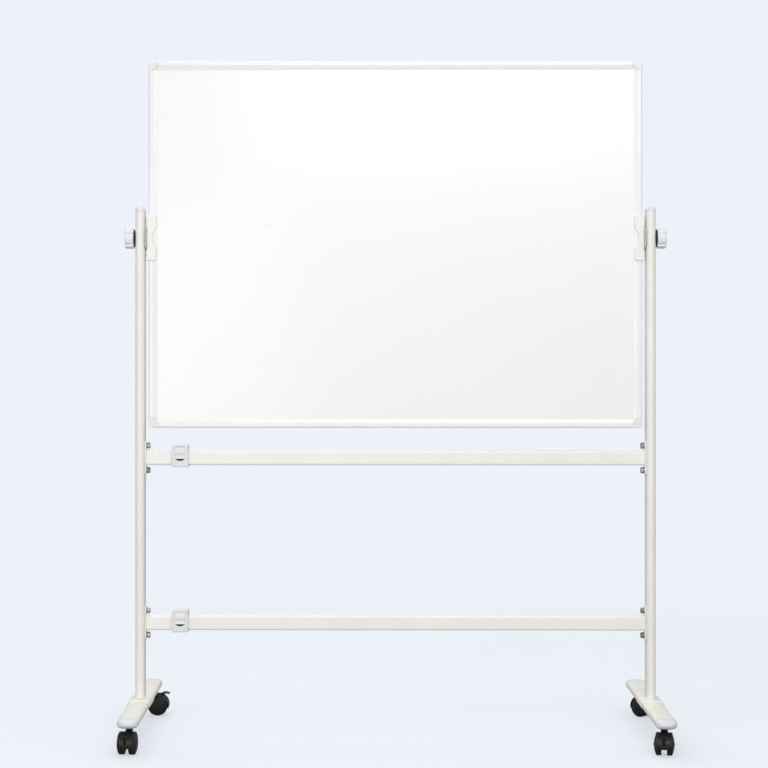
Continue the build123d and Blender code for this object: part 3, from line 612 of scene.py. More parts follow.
def weld_bead():
    """A rippled weld fillet round each end of both crossbars."""
    mesh = bmesh.new()
    for level in ("upper", "lower"):
        low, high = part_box(f"{level}_crossbar")
        middle = centre_of(f"{level}_crossbar")
        width, height = high.y - low.y, high.z - low.z
        for side, end in ((-1, low.x), (1, high.x)):
            rings = []
            for step in range(5):
                angle = math.radians(90 * step / 4)
                away = WELD_LEG * (1 - math.sin(angle))
                grow = WELD_LEG * (1 - math.cos(angle))
                ring = []
                base = rounded_rectangle(width + 2 * grow, height + 2 * grow, BAR_CORNER + grow, 16)
                for k, (u, v) in enumerate(base):
                    ripple = 1 + 0.012 * math.sin(k * 1.9) * (1 - abs(2 * step / 4 - 1))
                    ring.append((u * ripple, v * ripple, end - side * away))
                rings.append(ring)
            add_loft(mesh, rings, along("X", (0, middle.y, middle.z)))
    bead = to_object("crossbar_welds", mesh)
    place(soften(bead, 0, angle=60), MATERIALS["bar_paint"], "stand", slot="bar_paint")


def flange_pieces():
    low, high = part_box("crossbar_flanges")
    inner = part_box("upper_crossbar")[1].x
    half = high.z - bar_height("upper")
    outline = rounded_rectangle(high.y - low.y, 2 * half, FLANGE_CORNER)
    mesh = bmesh.new()
    for level in ("upper", "lower"):
        centre = bar_height(level)
        for start, end in ((inner, high.x), (low.x, -inner)):
            add_prism(mesh, outline, start, end, along("X", (0, 0, centre)))
    flanges = to_object("end_flanges", mesh)
    place(soften(flanges, 0.0006), MATERIALS["bar_paint"], "stand", "crossbar_flanges")


def flange_bolt_places():
    """Each bolt's side and height, from the bolts' own box and the crossbars' centres."""
    low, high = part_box("crossbar_bolts")
    centres = [bar_height(level) for level in ("upper", "lower")]
    half_head = (high.y - low.y) / 2
    offset = high.z - centres[0] - half_head / math.cos(math.radians(30))
    return [(side, centre + way * offset) for side in (-1, 1) for centre in centres for way in (-1, 1)]


def hex_head_profile(across, thickness):
    """A lathe profile that rounds off a hexagon's outer corners."""
    corner = across / math.sqrt(3)
    chamfer = corner - across / 2 + 0.0002
    outside = corner + 0.0001
    return [(0, 0), (across / 2 - 0.0002, 0), (outside, chamfer * 0.58), (outside, thickness), (0, thickness)]


def bolt_pieces():
    """Hexagon heads with chamfered corners, on shanks that reach the nuts in the posts."""
    low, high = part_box("crossbar_bolts")
    across = high.y - low.y
    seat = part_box("crossbar_spring_washers")[1].x - SPRING_WASHER
    bolts = []
    for side, z in flange_bolt_places():
        facing = Matrix.Rotation(math.radians(90 * side), 4, "Y")
        matrix = Matrix.Translation((side * (seat - BOLT_HEAD), 0, z)) @ facing
        tightened = Matrix.Rotation(math.radians(17 * (z * 1000 % 7)), 4, "Z")
        bolt = solid("bolt", add_prism, hexagon(across), 0, BOLT_HEAD, matrix @ tightened)
        rounded = solid("round", add_lathe, hex_head_profile(across, BOLT_HEAD), matrix)
        combine(bolt, rounded, "INTERSECT")
        shank = rod(BOLT_RADIUS, BOLT_HEAD - 0.0002, BOLT_HEAD + BOLT_LENGTH)
        bolts.append(join(bolt, add_lathe, shank, matrix, 32))
    merged = merge_all("flange_bolts", bolts)
    place(soften(merged, 0.00015, 2), MATERIALS["zinc_steel"], "stand", "crossbar_bolts")


def flat_washer_pieces():
    low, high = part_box("crossbar_flat_washers")
    profile = washer_profile(BOLT_HOLE, (high.y - low.y) / 2, FLAT_WASHER, 0.0002)
    mesh = bmesh.new()
    for side, z in flange_bolt_places():
        start = high.x - FLAT_WASHER if side > 0 else low.x
        add_lathe(mesh, profile, along("X", (start, 0, z)), 48)
    washers = to_object("flat_washers", mesh)
    place(soften(washers, 0), MATERIALS["zinc_steel"], "stand", "crossbar_flat_washers")


def spring_washer_pieces():
    """Split rings of square wire, each sprung open by a fraction of its thickness."""
    low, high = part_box("crossbar_spring_washers")
    outer = (high.y - low.y) / 2
    steps = 40
    mesh = bmesh.new()
    for side, z in flange_bolt_places():
        start = high.x - SPRING_WASHER if side > 0 else low.x
        rings = []
        for step in range(steps + 1):
            turn = math.radians(12 + 336 * step / steps)
            lift = 0.0001 + 0.0001 * math.cos(turn)
            top = SPRING_WASHER - lift
            section = ((BOLT_HOLE, lift), (outer, lift), (outer, top), (BOLT_HOLE, top))
            rings.append([(r * math.sin(turn), -r * math.cos(turn), w) for r, w in section])
        add_loft(mesh, rings, along("X", (start, 0, z)))
    washers = to_object("spring_washers", mesh)
    place(soften(washers, 0.0002, 2), MATERIALS["zinc_steel"], "stand", "crossbar_spring_washers")


def foot_tube_piece(side):
    low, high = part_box(f"{side}_foot_tube")
    middle = centre_of(f"{side}_foot_tube")
    outline = pillow((high.x - low.x) / 2, (high.z - low.z) / 2)
    tube = solid(f"{side}_foot", add_prism, outline, low.y, high.y, along("Y", (middle.x, 0, middle.z)))
    place(soften(tube, 0.0003, 2), MATERIALS["foot_paint"], "stand", f"{side}_foot_tube")


def foot_cap_pieces():
    """The feet's ends, rounded in plan and drawn down towards the tip like a torpedo's nose."""
    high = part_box("foot_end_caps")[1]
    tube_low, tube_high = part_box("right_foot_tube")
    half_width = (tube_high.x - tube_low.x) / 2
    half_height = (tube_high.z - tube_low.z) / 2
    start, end = tube_high.y, high.y
    steps = 24
    last_turn = 88
    mesh = bmesh.new()
    for side in ("left", "right"):
        centre = centre_of(f"{side}_foot_tube")
        for way in (-1, 1):
            joint = pillow(half_width - 0.0005, half_height - 0.0005)
            rings = [[(u, v, way * start) for u, v in joint]]
            rings.append([(u, v, way * (start + 0.0006)) for u, v in pillow(half_width, half_height)])
            for step in range(steps + 1):
                turn = math.radians(last_turn * step / steps)
                y = end - FOOT_END_ROUND * (1 - math.sin(turn) / math.sin(math.radians(last_turn)))
                width = half_width - FOOT_END_ROUND * (1 - math.cos(turn))
                rings.append([(u, v, way * y) for u, v in pillow(width, half_height * math.cos(turn))])
            add_loft(mesh, rings, along("Y", (centre.x, 0, centre.z)))
    caps = to_object("foot_ends", mesh)
    place(soften(caps, 0, angle=60), MATERIALS["foot_plastic"], "stand", "foot_end_caps")


def foot_collar_pieces():
    """The saddles: a thin skin over the foot's top and shoulders, with the post standing through it."""
    low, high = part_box("foot_collars")
    foot_low, foot_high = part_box("right_foot_tube")
    skin = high.z - foot_high.z
    half_width = (foot_high.x - foot_low.x) / 2
    half_height = (foot_high.z - foot_low.z) / 2
    mesh = bmesh.new()
    for side in ("left", "right"):
        centre = centre_of(f"{side}_foot_tube")
        hem = low.z - centre.z
        outer = [(u, v) for u, v in pillow(half_width + skin, half_height + skin) if v > hem]
        inner = [(u, v) for u, v in pillow(half_width + COLLAR_GAP, half_height - 0.0004) if v > hem]
        add_prism(mesh, outer + inner[::-1], low.y, high.y, along("Y", (centre.x, 0, centre.z)))
    collars = to_object("foot_saddles", mesh)
    place(soften(collars, 0.0008, 3, 40), MATERIALS["collar_plastic"], "stand", "foot_collars")


# ---------------------------------------------------------------- board
def rail_outline():
    """Half the rail's section is drawn and mirrored: u runs inward from the outer edge."""
    low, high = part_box("top_rail")
    half = (high.y - low.y) / 2
    face = high.z - low.z
    groove_end = RAIL_GROOVE_AT + RAIL_GROOVE_WIDTH
    upper = arc(RAIL_BULLNOSE, half - RAIL_BULLNOSE, RAIL_BULLNOSE, 180, 90, 10)
    upper += [
        (RAIL_GROOVE_AT, half),
        (RAIL_GROOVE_AT + 0.0003, half - RAIL_GROOVE_DEPTH),
        (groove_end - 0.0003, half - RAIL_GROOVE_DEPTH),
        (groove_end, half - 0.0004),
        (face - 0.0012, RAIL_LIP_HALF + 0.0002),
        (face, RAIL_LIP_HALF - 0.0003),
        (face, PANEL_HALF + 0.00005),
        (PANEL_INSET, PANEL_HALF + 0.00005),
    ]
    lower = [(u, -v) for u, v in reversed(upper)]
    return upper + lower


def rail_pieces():
    outline = rail_outline()
    low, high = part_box("top_rail")
    rows = [
        ("top_rail", high.z, -1, "X", low.x, high.x),
        ("bottom_rail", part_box("bottom_rail")[0].z, 1, "X", low.x, high.x),
        ("left_rail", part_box("left_rail")[0].x, 1, "Z", *[corner.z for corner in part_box("left_rail")]),
        ("right_rail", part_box("right_rail")[1].x, -1, "Z", *[corner.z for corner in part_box("right_rail")]),
    ]
    for name, edge, inward, axis, start, end in rows:
        if axis == "X":
            rings = [[(w, v, edge + inward * u) for u, v in outline] for w in (start, end)]
        else:
            rings = [[(edge + inward * u, v, w) for u, v in outline] for w in (start, end)]
        rail = solid(f"{name}_extrusion", add_loft, rings)
        material = LEVEL_RAIL if axis == "X" else UPRIGHT_RAIL
        place(soften(rail, 0.00025, 2, 30), material, "board", name)


def corner_piece(right, up):
    """One moulded corner: thick outside the rails' grooves, with a diagonal step down to its inner part."""
    low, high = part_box("frame_corner_pieces")
    half_depth = (high.y - low.y) / 2
    edge_x = high.x if right > 0 else low.x
    edge_z = high.z if up > 0 else low.z

    def placed(outline):
        return [(edge_x - right * u, edge_z - up * v) for u, v in outline]

    rounded = arc(CORNER_RADIUS, CORNER_RADIUS, CORNER_RADIUS, 180, 270, 10)
    step = RAIL_GROOVE_AT
    thick = rounded + [(CORNER_SIZE, 0), (CORNER_SIZE, step), (step, CORNER_SIZE), (0, CORNER_SIZE)]
    corner = solid("corner", add_prism, placed(thick), -half_depth, half_depth, along("Y"))
    round_edges(corner, 0.0016, 4)
    flat = [(step, step), (CORNER_SIZE, step), (CORNER_SIZE, CORNER_SIZE), (step, CORNER_SIZE)]
    join(corner, add_prism, placed(flat), -CORNER_STEP_HALF, CORNER_STEP_HALF, along("Y"))
    inner_x = sorted((edge_x - right * PANEL_INSET, edge_x - right * 2 * CORNER_SIZE))
    inner_z = sorted((edge_z - up * PANEL_INSET, edge_z - up * 2 * CORNER_SIZE))
    cut(corner, add_box, (inner_x[0], -PANEL_HALF, inner_z[0]), (inner_x[1], PANEL_HALF, inner_z[1]))
    return corner


def corner_pieces():
    corners = merge_all("frame_corners", [corner_piece(right, up) for right in (-1, 1) for up in (-1, 1)])
    place(soften(corners, 0.0003, 2, angle=35), MATERIALS["corner_plastic"], "board", "frame_corner_pieces")


def bracket_outline(height):
    """Two lobes joined by a narrow waist; u is measured inward from the bracket's outer face."""
    top = height / 2
    lobe_end = top - BRACKET_LOBE_HEIGHT
    half = [(BRACKET_WAIST, 0)]
    steps = 12
    for step in range(steps + 1):
        share = step / steps
        ease = 0.6 * share * share * (3 - 2 * share) + 0.4 * share
        half.append((BRACKET_WAIST + (BRACKET_LOBE - BRACKET_WAIST) * ease,
                     BRACKET_WAIST_HALF + (lobe_end - BRACKET_WAIST_HALF) * share))
    half += arc(BRACKET_LOBE - BRACKET_CORNER, top - BRACKET_CORNER, BRACKET_CORNER, 0, 90, 6)
    half += [(0, top)]
    return [(u, -v) for u, v in reversed(half)] + half[1:]


def bracket_piece(side):
    """The pivot bracket wraps the board's rail; its outer face has a channel for the friction disc."""
    sign = -1 if side == "left" else 1
    low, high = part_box(f"{side}_pivot_bracket")
    middle = centre_of(f"{side}_pivot_bracket")
    face = low.x if sign < 0 else high.x
    outline = [(face - sign * u, v) for u, v in bracket_outline(high.z - low.z)]
    half = (high.y - low.y) / 2
    bracket = solid(f"{side}_bracket", add_prism, outline, -half, half, along("Y", (0, 0, middle.z)))
    round_edges(bracket, BRACKET_EDGE_ROUND, 5)
    rail_low, rail_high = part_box(f"{side}_rail")
    edge = rail_low.x if sign < 0 else rail_high.x
    inside = sorted((edge, edge - sign * 0.06))
    cut(bracket, add_box, (inside[0], rail_low.y, low.z - 0.01), (inside[1], rail_high.y, high.z + 0.01))
    disc_low, disc_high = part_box("pivot_friction_discs")
    radius = (disc_high.z - disc_low.z) / 2 + 0.0003
    seat = sorted((face + sign * 0.01, face - sign * 0.001))
    cut(bracket, add_box, (seat[0], -0.05, middle.z - radius), (seat[1], 0.05, middle.z + radius))
    for way in (-1, 1):
        cone = [(0, -0.001), (0.0058, -0.001), (0.0024, 0.0026), (0, 0.0026)]
        turn = Matrix.Rotation(math.radians(90 if sign < 0 else -90), 4, "Y")
        matrix = Matrix.Translation((face, 0, middle.z + way * SCREW_OFFSET)) @ turn
        combine(bracket, solid("sink", add_lathe, cone, matrix, 32))
    place(soften(bracket, 0.0003, 2, 40), MATERIALS["bracket_plastic"], "board", f"{side}_pivot_bracket")


def friction_disc_pieces():
    """Discs with a flat cut on the front and the rear."""
    low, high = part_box("pivot_friction_discs")
    radius = (high.z - low.z) / 2
    centre = centre_of("pivot_friction_discs").z
    circle = arc(0, 0, radius, 0, 360 * 95 / 96, 95)
    outline = [(max(low.y, min(high.y, u)), v) for u, v in circle]
    matrix = along("X", (0, 0, centre))
    discs = []
    for start in (low.x, high.x - DISC_THICKNESS):
        disc = solid("disc", add_prism, outline, start, start + DISC_THICKNESS, matrix)
        round_edges(disc, 0.0006, 3)
        discs.append(cut(disc, add_lathe, rod(BOLT_HOLE, start - 0.01, start + 0.02), matrix, 32))
    merged = merge_all("friction_discs", discs)
    place(soften(merged, 0), MATERIALS["friction_rubber"], "board", "pivot_friction_discs")


# ---------------------------------------------------------------- knobs
def knob_edge(angle, radius):
    """The knob's edge at an angle: a circle with a narrow round groove between each two lobes."""
    spacing = math.tau / KNOB_LOBES
    away = (angle - KNOB_LOBE_PHASE + spacing / 2) % spacing - spacing / 2
    sideways = radius * math.sin(away)
    if abs(sideways) >= KNOB_GROOVE_RADIUS:
        return radius
    reach = radius * math.cos(away) - math.sqrt(KNOB_GROOVE_RADIUS ** 2 - sideways ** 2)
    return reach


def knob_piece(side):
    """A lobed hand knob with a rounded face, a shallow dish in it and a central boss."""
    sign = -1 if side == "left" else 1
    low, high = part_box(f"{side}_knob")
    middle = centre_of(f"{side}_knob")
    radius = (high.z - low.z) / 2
    length = high.x - low.x
    hub = KNOB_HUB_LENGTH
    profile = [(KNOB_HUB_RADIUS, 0, 0), (KNOB_HUB_RADIUS, hub, 0), (radius - 0.0012, hub, 1)]
    profile += [(radius, hub + 0.0012, 1)]
    for step in range(9):
        turn = math.radians(90 * step / 8)
        inward = KNOB_EDGE_ROUND * (1 - math.cos(turn))
        back = KNOB_EDGE_ROUND * (1 - math.sin(turn))
        profile.append((radius - inward, length - back, 1))
    profile += [(radius * 0.62, length - 0.0002, 0.35), (radius * 0.52, length - 0.0012, 0)]
    profile += [(radius * 0.44, length - 0.0014, 0), (radius * 0.40, length - 0.0004, 0)]
    profile += [(radius * 0.30, length, 0)]
    count = 240
    rings = []
    for size, height, groove in profile:
        ring = []
        for k in range(count):
            angle = math.tau * k / count
            reach = size * (1 - (1 - knob_edge(angle, radius) / radius) * groove)
            ring.append((reach * math.cos(angle), reach * math.sin(angle), height))
        rings.append(ring)
    turned = Matrix(((0, 0, sign, 0), (-1, 0, 0, 0), (0, 1, 0, 0), (0, 0, 0, 1)))
    start = low.x if sign > 0 else high.x
    matrix = Matrix.Translation((start, middle.y, middle.z)) @ turned
    knob = solid(f"{side}_hand_knob", add_loft, rings, matrix)
    place(soften(knob, 0.0004, 2, 35), MATERIALS["knob_plastic"], f"{side}_knob", f"{side}_knob")


def knob_washer_piece(side):
    low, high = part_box(f"{side}_knob_washer")
    radius = (high.z - low.z) / 2
    profile = washer_profile(0.0043, radius, high.x - low.x, 0.001)
    matrix = along("X", (low.x, 0, centre_of(f"{side}_knob_washer").z))
    washer = solid(f"{side}_collar", add_lathe, profile, matrix, 80)
    place(soften(washer, 0), MATERIALS["black_plastic"], f"{side}_washer", f"{side}_knob_washer")


# ---------------------------------------------------------------- clips
def finger_recess(half_width, drop):
    """The recess below the latch's lip, about the crossbar's centre: flat on top and bowed below."""
    top = LATCH_LIP + 0.0004
    angles = [math.pi * k / 20 for k in range(21)]
    bow = [(half_width * math.cos(angle), top - drop * math.sin(angle)) for angle in angles]
    return bow + [(-half_width, top + 0.0003), (half_width, top + 0.0003)]


def middle_on_bar(node, level):
    """The place on a crossbar's centre line that is level with the middle of a node."""
    return Vector((centre_of(node).x, 0, bar_height(level)))


def clip_body_piece(level):
    """A sleeve round the crossbar: open ends, a window for the latch and a dished finger recess, with a black
    sheet at its back as painted shade.
    """
    low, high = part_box(f"{level}_clip_body")
    bar_low, bar_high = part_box(f"{level}_crossbar")
    centre = middle_on_bar(f"{level}_clip_body", level)
    matrix = Matrix.Translation(centre)
    half = (high.x - low.x) / 2
    floor, top = low.z - centre.z, high.z - centre.z
    section = rounded_rectangle(high.y - low.y, top - floor, 0.0028, 5)
    shift = centre_of(f"{level}_clip_body").y
    outline = [(u + shift, v + (top + floor) / 2) for u, v in section]
    body = solid(f"{level}_clip_shell", add_prism, outline, -half, half, matrix @ along("X"))
    round_edges(body, 0.0012, 3)
    inner = bar_high.y + 0.0004
    bottom = bar_low.z - centre.z - 0.0004
    roof = top - CLIP_WALL
    cut(body, add_box, (-half - 0.01, -inner, bottom), (half + 0.01, inner, roof), matrix)
    window = LATCH_HALF + 0.0003
    window_top = LATCH_PIN_RISE + LATCH_BARREL + 0.0003
    cut(body, add_box, (-window, low.y - 0.01, LATCH_LIP - 0.001), (window, 0, window_top), matrix)
    recess = finger_recess(RECESS_HALF, RECESS_DROP)
    cut(body, add_prism, recess, low.y - 0.01, low.y + RECESS_DEPTH, matrix @ along("Y"))
    # A black sheet set at the back of the finger recess: painted shade in the recess, not a part of the clip.
    shade_sheet = solid(f"{level}_recess_painted_shade", add_prism,
                   finger_recess(RECESS_HALF - 0.0002, RECESS_DROP - 0.0002),
                   low.y + RECESS_DEPTH / 2, low.y + RECESS_DEPTH - 0.0002, matrix @ along("Y"))
    place(soften(shade_sheet, 0.0003, 2), MATERIALS["black_plastic"], f"{level}_clip", slot="black_plastic")
    place(soften(body, 0.0004, 2, 40), MATERIALS["clip_plastic"], f"{level}_clip", f"{level}_clip_body")


def latch_outline():
    """The latch seen from the side: barrel, tongue with a crease, curled lip, and the cam behind."""
    points = arc(LATCH_PIN_Y, LATCH_PIN_RISE, LATCH_BARREL, 60, 190, 8)
    points += [(-0.0189, 0.0200), (-0.0196, 0.0150), (-0.0197, 0.0128), (-0.0191, 0.0105), (-0.0180, 0.0070),
               (-0.0178, 0.0048), (-0.0186, 0.0026), (-0.0204, 0.0008), (-0.0215, -0.0001)]
    points += arc(-0.0208, -0.0006, 0.0008, 150, 290, 5)
    points += [(-0.0186, -0.0012), (-0.0164, 0.0008), (-0.0150, 0.0042), (-0.0158, 0.0085), (-0.0168, 0.0128),
               (-0.0163, 0.0180), (-0.0150, 0.0219), (-0.0092, 0.0164), (-0.0082, 0.0170), (-0.0080, 0.0185),
               (-0.0112, 0.0260)]
    return points


def latch_piece(level):
    low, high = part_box(f"{level}_clip_latch")
    centre = middle_on_bar(f"{level}_clip_latch", level)
    matrix = Matrix.Translation(centre) @ along("X")
    latch = solid(f"{level}_latch_tongue", add_prism, latch_outline(), -LATCH_HALF, LATCH_HALF, matrix)
    reach = (high.x - low.x) / 2
    pin = Matrix.Translation(centre) @ along("X", (0, LATCH_PIN_Y, LATCH_PIN_RISE))
    profile = [(0, -reach), (0.0013, -reach), (0.0015, 0.0002 - reach)]
    profile += [(radius, -height) for radius, height in reversed(profile)]
    join(latch, add_lathe, profile, pin, 24)
    place(soften(latch, 0.0005, 3, 40), MATERIALS["clip_plastic"], f"{level}_latch", f"{level}_clip_latch")


# ---------------------------------------------------------------- casters
# A caster is drawn about its swivel axis with its wheels trailing along +X, and then turned into place.
def caster_matrix(name):
    swivel = JOINTS[f"{name}_swivel"]["pos_m"]
    axle = JOINTS[f"{name}_wheel_a_spin"]["axis"]
    angle = math.atan2(-axle[0], axle[1])
    return Matrix.Translation((swivel[0], swivel[1], 0)) @ Matrix.Rotation(angle, 4, "Z")


def rounded_drum(radius, half, rounding, steps=6):
    """A lathe profile for a drum about w with rounded rims."""
    points = [(0, -half)]
    for step in range(steps + 1):
        turn = math.radians(90 * step / steps)
        points.append((radius - rounding * (1 - math.sin(turn)), -half + rounding * (1 - math.cos(turn))))
    return points + [(r, -h) for r, h in reversed(points)]


def hood_piece(name):
    """The hood: a fender over both wheels, the web between them, and the boss for the stem."""
    brakes = f"{name}_brake" in JOINTS
    base = caster_matrix(name)
    axle = base @ along("Y", (TRAIL, 0, WHEEL_RADIUS))
    hood = solid(f"{name}_hood", add_lathe, rounded_drum(HOOD_RADIUS, HOOD_HALF_WIDTH, 0.0022), axle, 128)
    cut(hood, add_box, (-0.06, -0.03, -0.02), (0.06, 0.03, HOOD_WEB_BOTTOM), base)
    for side in (-1, 1):
        across = sorted((side * HOOD_WEB_HALF, side * 0.03))
        cut(hood, add_box, (-0.06, across[0], -0.02), (0.06, across[1], HOOD_FENDER_BOTTOM), base)
    boss = [(0, 0.030), (0.0085, 0.030), (0.0085, 0.050), (0.0083, HOOD_TOP - 0.0010)]
    boss += [(0.0073, HOOD_TOP), (0, HOOD_TOP)]
    join(hood, add_lathe, boss, base, 48)
    rib = [(0.002, 0.032), (TRAIL, 0.032), (TRAIL + 0.001, 0.0524), (0.0065, 0.0548), (0.002, 0.0548)]
    join(hood, add_prism, rib, -HOOD_WEB_HALF, HOOD_WEB_HALF, base @ along("Y"))
    for side in (-1, 1):
        start, end = sorted((side * HOOD_WEB_HALF, side * 0.03))
        cut(hood, add_lathe, rod(HOOD_POCKET_RADIUS, start, end), axle, 128)
    cut(hood, add_lathe, rod(AXLE_RADIUS, -0.05, 0.05), axle, 32)
    cut(hood, add_lathe, rod(0.00505, 0.038, 0.06), base, 32)
    trailing = TRAIL + HOOD_RADIUS
    if brakes:
        cut(hood, add_box, (TRAIL - 0.001, -0.0045, 0.037), (trailing + 0.002, 0.0045, 0.065), base)
        cut(hood, add_box, (TRAIL - 0.001, -0.0105, 0.0455), (TRAIL + 0.014, 0.0105, 0.065), base)
    else:
        cut(hood, add_box, (trailing - 0.009, -0.0032, 0.0275), (trailing + 0.002, 0.0032, 0.042), base)
        cut(hood, add_box, (trailing - 0.009, -0.0070, 0.038), (trailing + 0.002, 0.0070, 0.042), base)
    place(soften(hood, 0.0005, 2, 40), MATERIALS["hood_plastic"], f"{name}_caster", f"{name}_caster_hood")


def wheel_profile():
    """Inner face, tread with eased edges, then a domed outer face with a ring groove and a hub cap."""
    points = [(AXLE_RADIUS + 0.0001, WHEEL_INNER), (WHEEL_RADIUS - 0.0010, WHEEL_INNER),
              (WHEEL_RADIUS - 0.0003, WHEEL_INNER + 0.0003), (WHEEL_RADIUS, WHEEL_INNER + 0.0010),
              (WHEEL_RADIUS, WHEEL_TREAD_EDGE - 0.0014), (WHEEL_RADIUS - 0.0004, WHEEL_TREAD_EDGE - 0.0005),
              (WHEEL_RADIUS - 0.0012, WHEEL_TREAD_EDGE)]
    rise = WHEEL_OUTER - WHEEL_TREAD_EDGE
    rim = WHEEL_RADIUS - 0.0022
    for step in range(1, 13):
        radius = rim * (1 - step / 15)
        height = WHEEL_TREAD_EDGE + 0.0006 + (rise - 0.0010) * (1 - (radius / rim) ** 2.2)
        if step == 2:
            points += [(radius + 0.0004, height - 0.0002), (radius + 0.0002, height - 0.0009),
                       (radius - 0.0004, height - 0.0009)]
        points.append((radius, height))
    hub = 0.0042
    points += [(hub, WHEEL_OUTER - 0.0006), (hub - 0.0001, WHEEL_OUTER - 0.0012)]
    return points


def wheel_piece(name, wheel, side):
    axle = caster_matrix(name) @ along("Y", (TRAIL, 0, WHEEL_RADIUS))
    profile = [(radius, side * height) for radius, height in wheel_profile()]
    body = f"{name}_wheel_{wheel}"
    piece = solid(f"{body}_moulding", add_lathe, profile, axle, 128)
    place(soften(piece, 0, angle=32), MATERIALS["wheel_plastic"], body, body)


def axle_piece(name):
    """The axle, with a shallow domed cap at each end."""
    axle = caster_matrix(name) @ along("Y", (TRAIL, 0, WHEEL_RADIUS))
    end = WHEEL_OUTER + 0.0004
    profile = [(0, -end), (0.0024, 0.0001 - end), (0.0036, 0.0005 - end), (AXLE_RADIUS, 0.0010 - end)]
    profile += [(r, -h) for r, h in reversed(profile)]
    piece = solid(f"{name}_axle_pin", add_lathe, profile, axle, 48)
    place(soften(piece, 0, angle=30), MATERIALS["black_steel"], f"{name}_caster", f"{name}_caster_axle")


def stem_pieces():
    """The stems' visible necks between the hoods and the feet, with their shanks inside both."""
    low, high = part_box("caster_stems")
    foot_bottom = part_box("right_foot_tube")[0].z
    neck_start = HOOD_TOP + 0.0003
    profile = [(0, low.z), (STEM_RADIUS - 0.0004, low.z), (STEM_RADIUS, low.z + 0.0005)]
    profile += [(STEM_RADIUS, neck_start), (STEM_NECK_RADIUS, neck_start), (STEM_NECK_RADIUS, foot_bottom)]
    profile += [(STEM_RADIUS, foot_bottom), (STEM_RADIUS, high.z), (0, high.z)]
    mesh = bmesh.new()
    for name in CASTER_NAMES:
        swivel = JOINTS[f"{name}_swivel"]["pos_m"]
        add_lathe(mesh, profile, along("Z", (swivel[0], swivel[1], 0)), 48)
    stems = to_object("swivel_stems", mesh)
    place(soften(stems, 0, angle=30), MATERIALS["black_steel"], "stand", "caster_stems")


def lever_piece(name):
    """The brake's foot lever: an arched paddle with grip ribs, and a blade down to its pin."""
    base = caster_matrix(name)
    spine = [(0.0025, 0.0276, 0.0020), (0.0055, 0.0277, 0.0023), (0.0085, 0.0285, 0.0027),
             (0.0110, 0.0295, 0.0032), (0.0140, 0.0304, 0.0037), (0.0180, 0.0308, 0.0040),
             (0.0220, 0.0307, 0.0038), (0.0255, 0.0302, 0.0032), (0.0282, 0.0295, 0.0025),
             (0.0297, 0.0291, 0.0018)]
    rings = []
    for index, (x, z, thick) in enumerate(spine):
        share = index / (len(spine) - 1)
        width = 0.0178 - 0.0022 * abs(2 * share - 0.9) ** 2
        outline = rounded_rectangle(width, thick, thick * 0.45, 5)
        rings.append([(TRAIL + x, u, WHEEL_RADIUS + z + v) for u, v in outline])
    lever = solid(f"{name}_foot_lever", add_loft, rings, base)
    blade = [(TRAIL + 0.0015, WHEEL_RADIUS + 0.0275), (TRAIL + 0.0015, WHEEL_RADIUS + 0.015),
             (TRAIL + 0.0075, WHEEL_RADIUS + 0.014), (TRAIL + 0.009, WHEEL_RADIUS + 0.0275)]
    join(lever, add_prism, blade, -0.0038, 0.0038, base @ along("Y"))
    pin = base @ along("Y", (TRAIL + 0.0045, 0, WHEEL_RADIUS + 0.017))
    join(lever, add_lathe, rod(0.0018, -0.0056, 0.0056), pin, 24)
    for along_paddle, rise in ((0.0150, 0.0326), (0.0190, 0.0330), (0.0230, 0.0326)):
        x, z = TRAIL + along_paddle, WHEEL_RADIUS + rise
        join(lever, add_box, (x, -0.0065, z - 0.0016), (x + 0.0012, 0.0065, z), base)
    place(soften(lever, 0.0003, 2, 40), MATERIALS["black_plastic"], f"{name}_lever", f"{name}_brake_lever")


CASTER_NAMES = [name[:-len("_swivel")] for name in JOINTS if name.endswith("_swivel")]


def make_object():
    dress_cad_nodes()
    for side in ("left", "right"):
        post_pieces(side)
        foot_tube_piece(side)
        bracket_piece(side)
        knob_piece(side)
        knob_washer_piece(side)
    for level in ("upper", "lower"):
        crossbar_piece(level)
        clip_body_piece(level)
        latch_piece(level)
    post_cap_pieces()
    flange_pieces()
    weld_bead()
    bolt_pieces()
    flat_washer_pieces()
    spring_washer_pieces()
    foot_cap_pieces()
    foot_collar_pieces()
    rail_pieces()
    corner_pieces()
    friction_disc_pieces()
    stem_pieces()
    for name in CASTER_NAMES:
        hood_piece(name)
        wheel_piece(name, "a", -1)
        wheel_piece(name, "b", 1)
        axle_piece(name)
        if f"{name}_brake" in JOINTS:
            lever_piece(name)


# ---------------------------------------------------------------- stage, light and camera
BACKGROUND = (0.847, 0.888, 0.956)


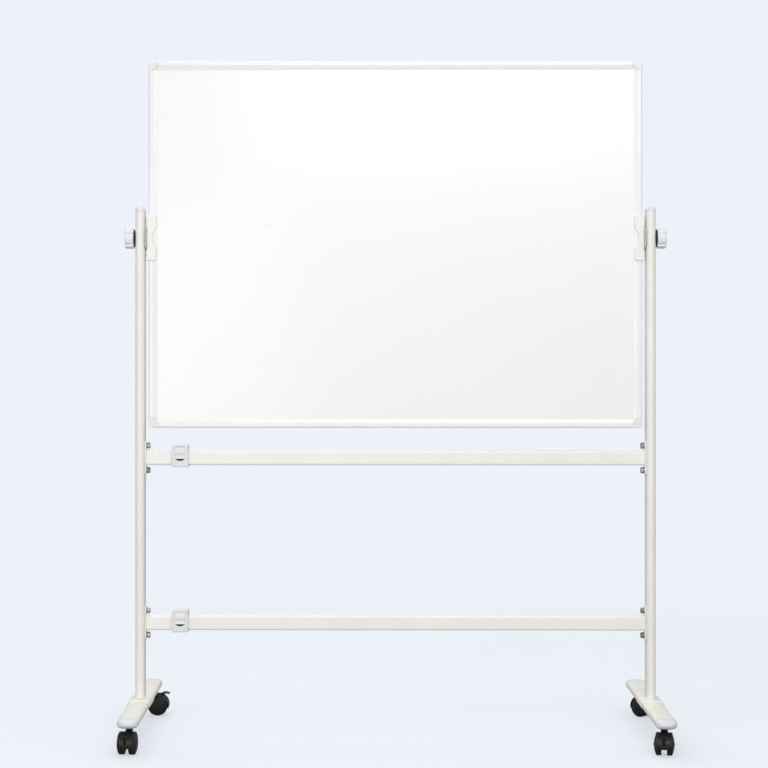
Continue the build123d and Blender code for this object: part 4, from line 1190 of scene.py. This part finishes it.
def floor():
    """A wide pale floor that fades into the background's colour away from the object."""
    mesh = bmesh.new()
    bmesh.ops.create_circle(mesh, cap_ends=True, radius=30, segments=96)
    piece = to_object("floor", mesh)
    shader = Shader("pale_floor")
    distance = shader.node("ShaderNodeVectorMath", operation="LENGTH")
    shader.link(shader.place, distance.inputs[0])
    tone = shader.spread(shader.noise(0.5, 3), 0.0, 1.0)
    pale = shader.blend(tone, shade(BACKGROUND, 0.985), BACKGROUND)
    seen = shader.node("ShaderNodeLightPath").outputs["Is Camera Ray"]
    shader.colour(shader.blend(seen, shade(BACKGROUND, 0.42), pale))
    shader.roughness(shader.spread(shader.noise(0.2, 3), 0.75, 0.9))
    glow = shader.node("ShaderNodeEmission")
    glow.inputs["Color"].default_value = (*BACKGROUND, 1)
    mix = shader.node("ShaderNodeMixShader")
    share = shader.node("ShaderNodeMath", operation="MULTIPLY")
    shader.link(shader.spread(distance.outputs["Value"], 0.55, 1.0, 0.6, 3.0), share.inputs[0])
    shader.link(seen, share.inputs[1])
    shader.link(share.outputs["Value"], mix.inputs["Fac"])
    shader.link(shader.surface.outputs["BSDF"], mix.inputs[1])
    shader.link(glow.outputs["Emission"], mix.inputs[2])
    shader.link(mix.outputs["Shader"], shader.tree.nodes["Material Output"].inputs["Surface"])
    piece.data.materials.append(shader.material)


def area_light(name, place_at, aim, size, power, colour=(1, 1, 1)):
    data = bpy.data.lights.new(name, "AREA")
    data.shape = "RECTANGLE"
    data.size, data.size_y = size
    data.energy = power
    data.color = colour
    lamp = bpy.data.objects.new(name, data)
    bpy.context.scene.collection.objects.link(lamp)
    lamp.location = place_at
    lamp.rotation_euler = (Vector(aim) - Vector(place_at)).to_track_quat("-Z", "Y").to_euler()


def lighting():
    """Soft boxes in front, low at the left, behind and overhead, and an even surround."""
    world = bpy.data.worlds.new("studio")
    bpy.context.scene.world = world
    world.use_nodes = True
    tree = world.node_tree
    surround = tree.nodes["Background"]
    surround.inputs["Color"].default_value = (1.0, 0.99, 0.975, 1)
    surround.inputs["Strength"].default_value = 0.57
    backdrop = tree.nodes.new("ShaderNodeBackground")
    backdrop.inputs["Color"].default_value = (*BACKGROUND, 1)
    seen = tree.nodes.new("ShaderNodeLightPath")
    mix = tree.nodes.new("ShaderNodeMixShader")
    tree.links.new(seen.outputs["Is Camera Ray"], mix.inputs["Fac"])
    tree.links.new(surround.outputs["Background"], mix.inputs[1])
    tree.links.new(backdrop.outputs["Background"], mix.inputs[2])
    tree.links.new(mix.outputs["Shader"], tree.nodes["World Output"].inputs["Surface"])
    warm = (1.0, 0.985, 0.955)
    area_light("key", (0.6, -3.4, 2.5), (0, 0, 0.9), (2.6, 1.8), 60, warm)
    area_light("fill", (-1.5, -3.3, 0.9), (0.2, 0, 0.9), (2.4, 1.2), 28, warm)
    area_light("back", (-0.9, 2.7, 2.9), (0, 0, 1.0), (2.4, 1.6), 42, warm)
    area_light("top", (0, 0, 3.8), (0, 0, 0), (2.4, 1.6), 14, warm)
    bpy.context.scene.view_settings.view_transform = "Standard"


def camera():
    """A long lens, level, a little left of the middle and above the posts' middle."""
    data = bpy.data.cameras.new("camera")
    data.sensor_width = 36
    data.lens = 90.6
    data.shift_x = 0.0391
    data.shift_y = -0.0666
    data.clip_end = 100
    eye = bpy.data.objects.new("camera", data)
    bpy.context.scene.collection.objects.link(eye)
    eye.location = (-0.0668, -4.709, 0.977)
    eye.rotation_euler = (math.radians(89.97), 0, math.radians(0.41))
    bpy.context.scene.camera = eye


camera()
lighting()
floor()
make_object()
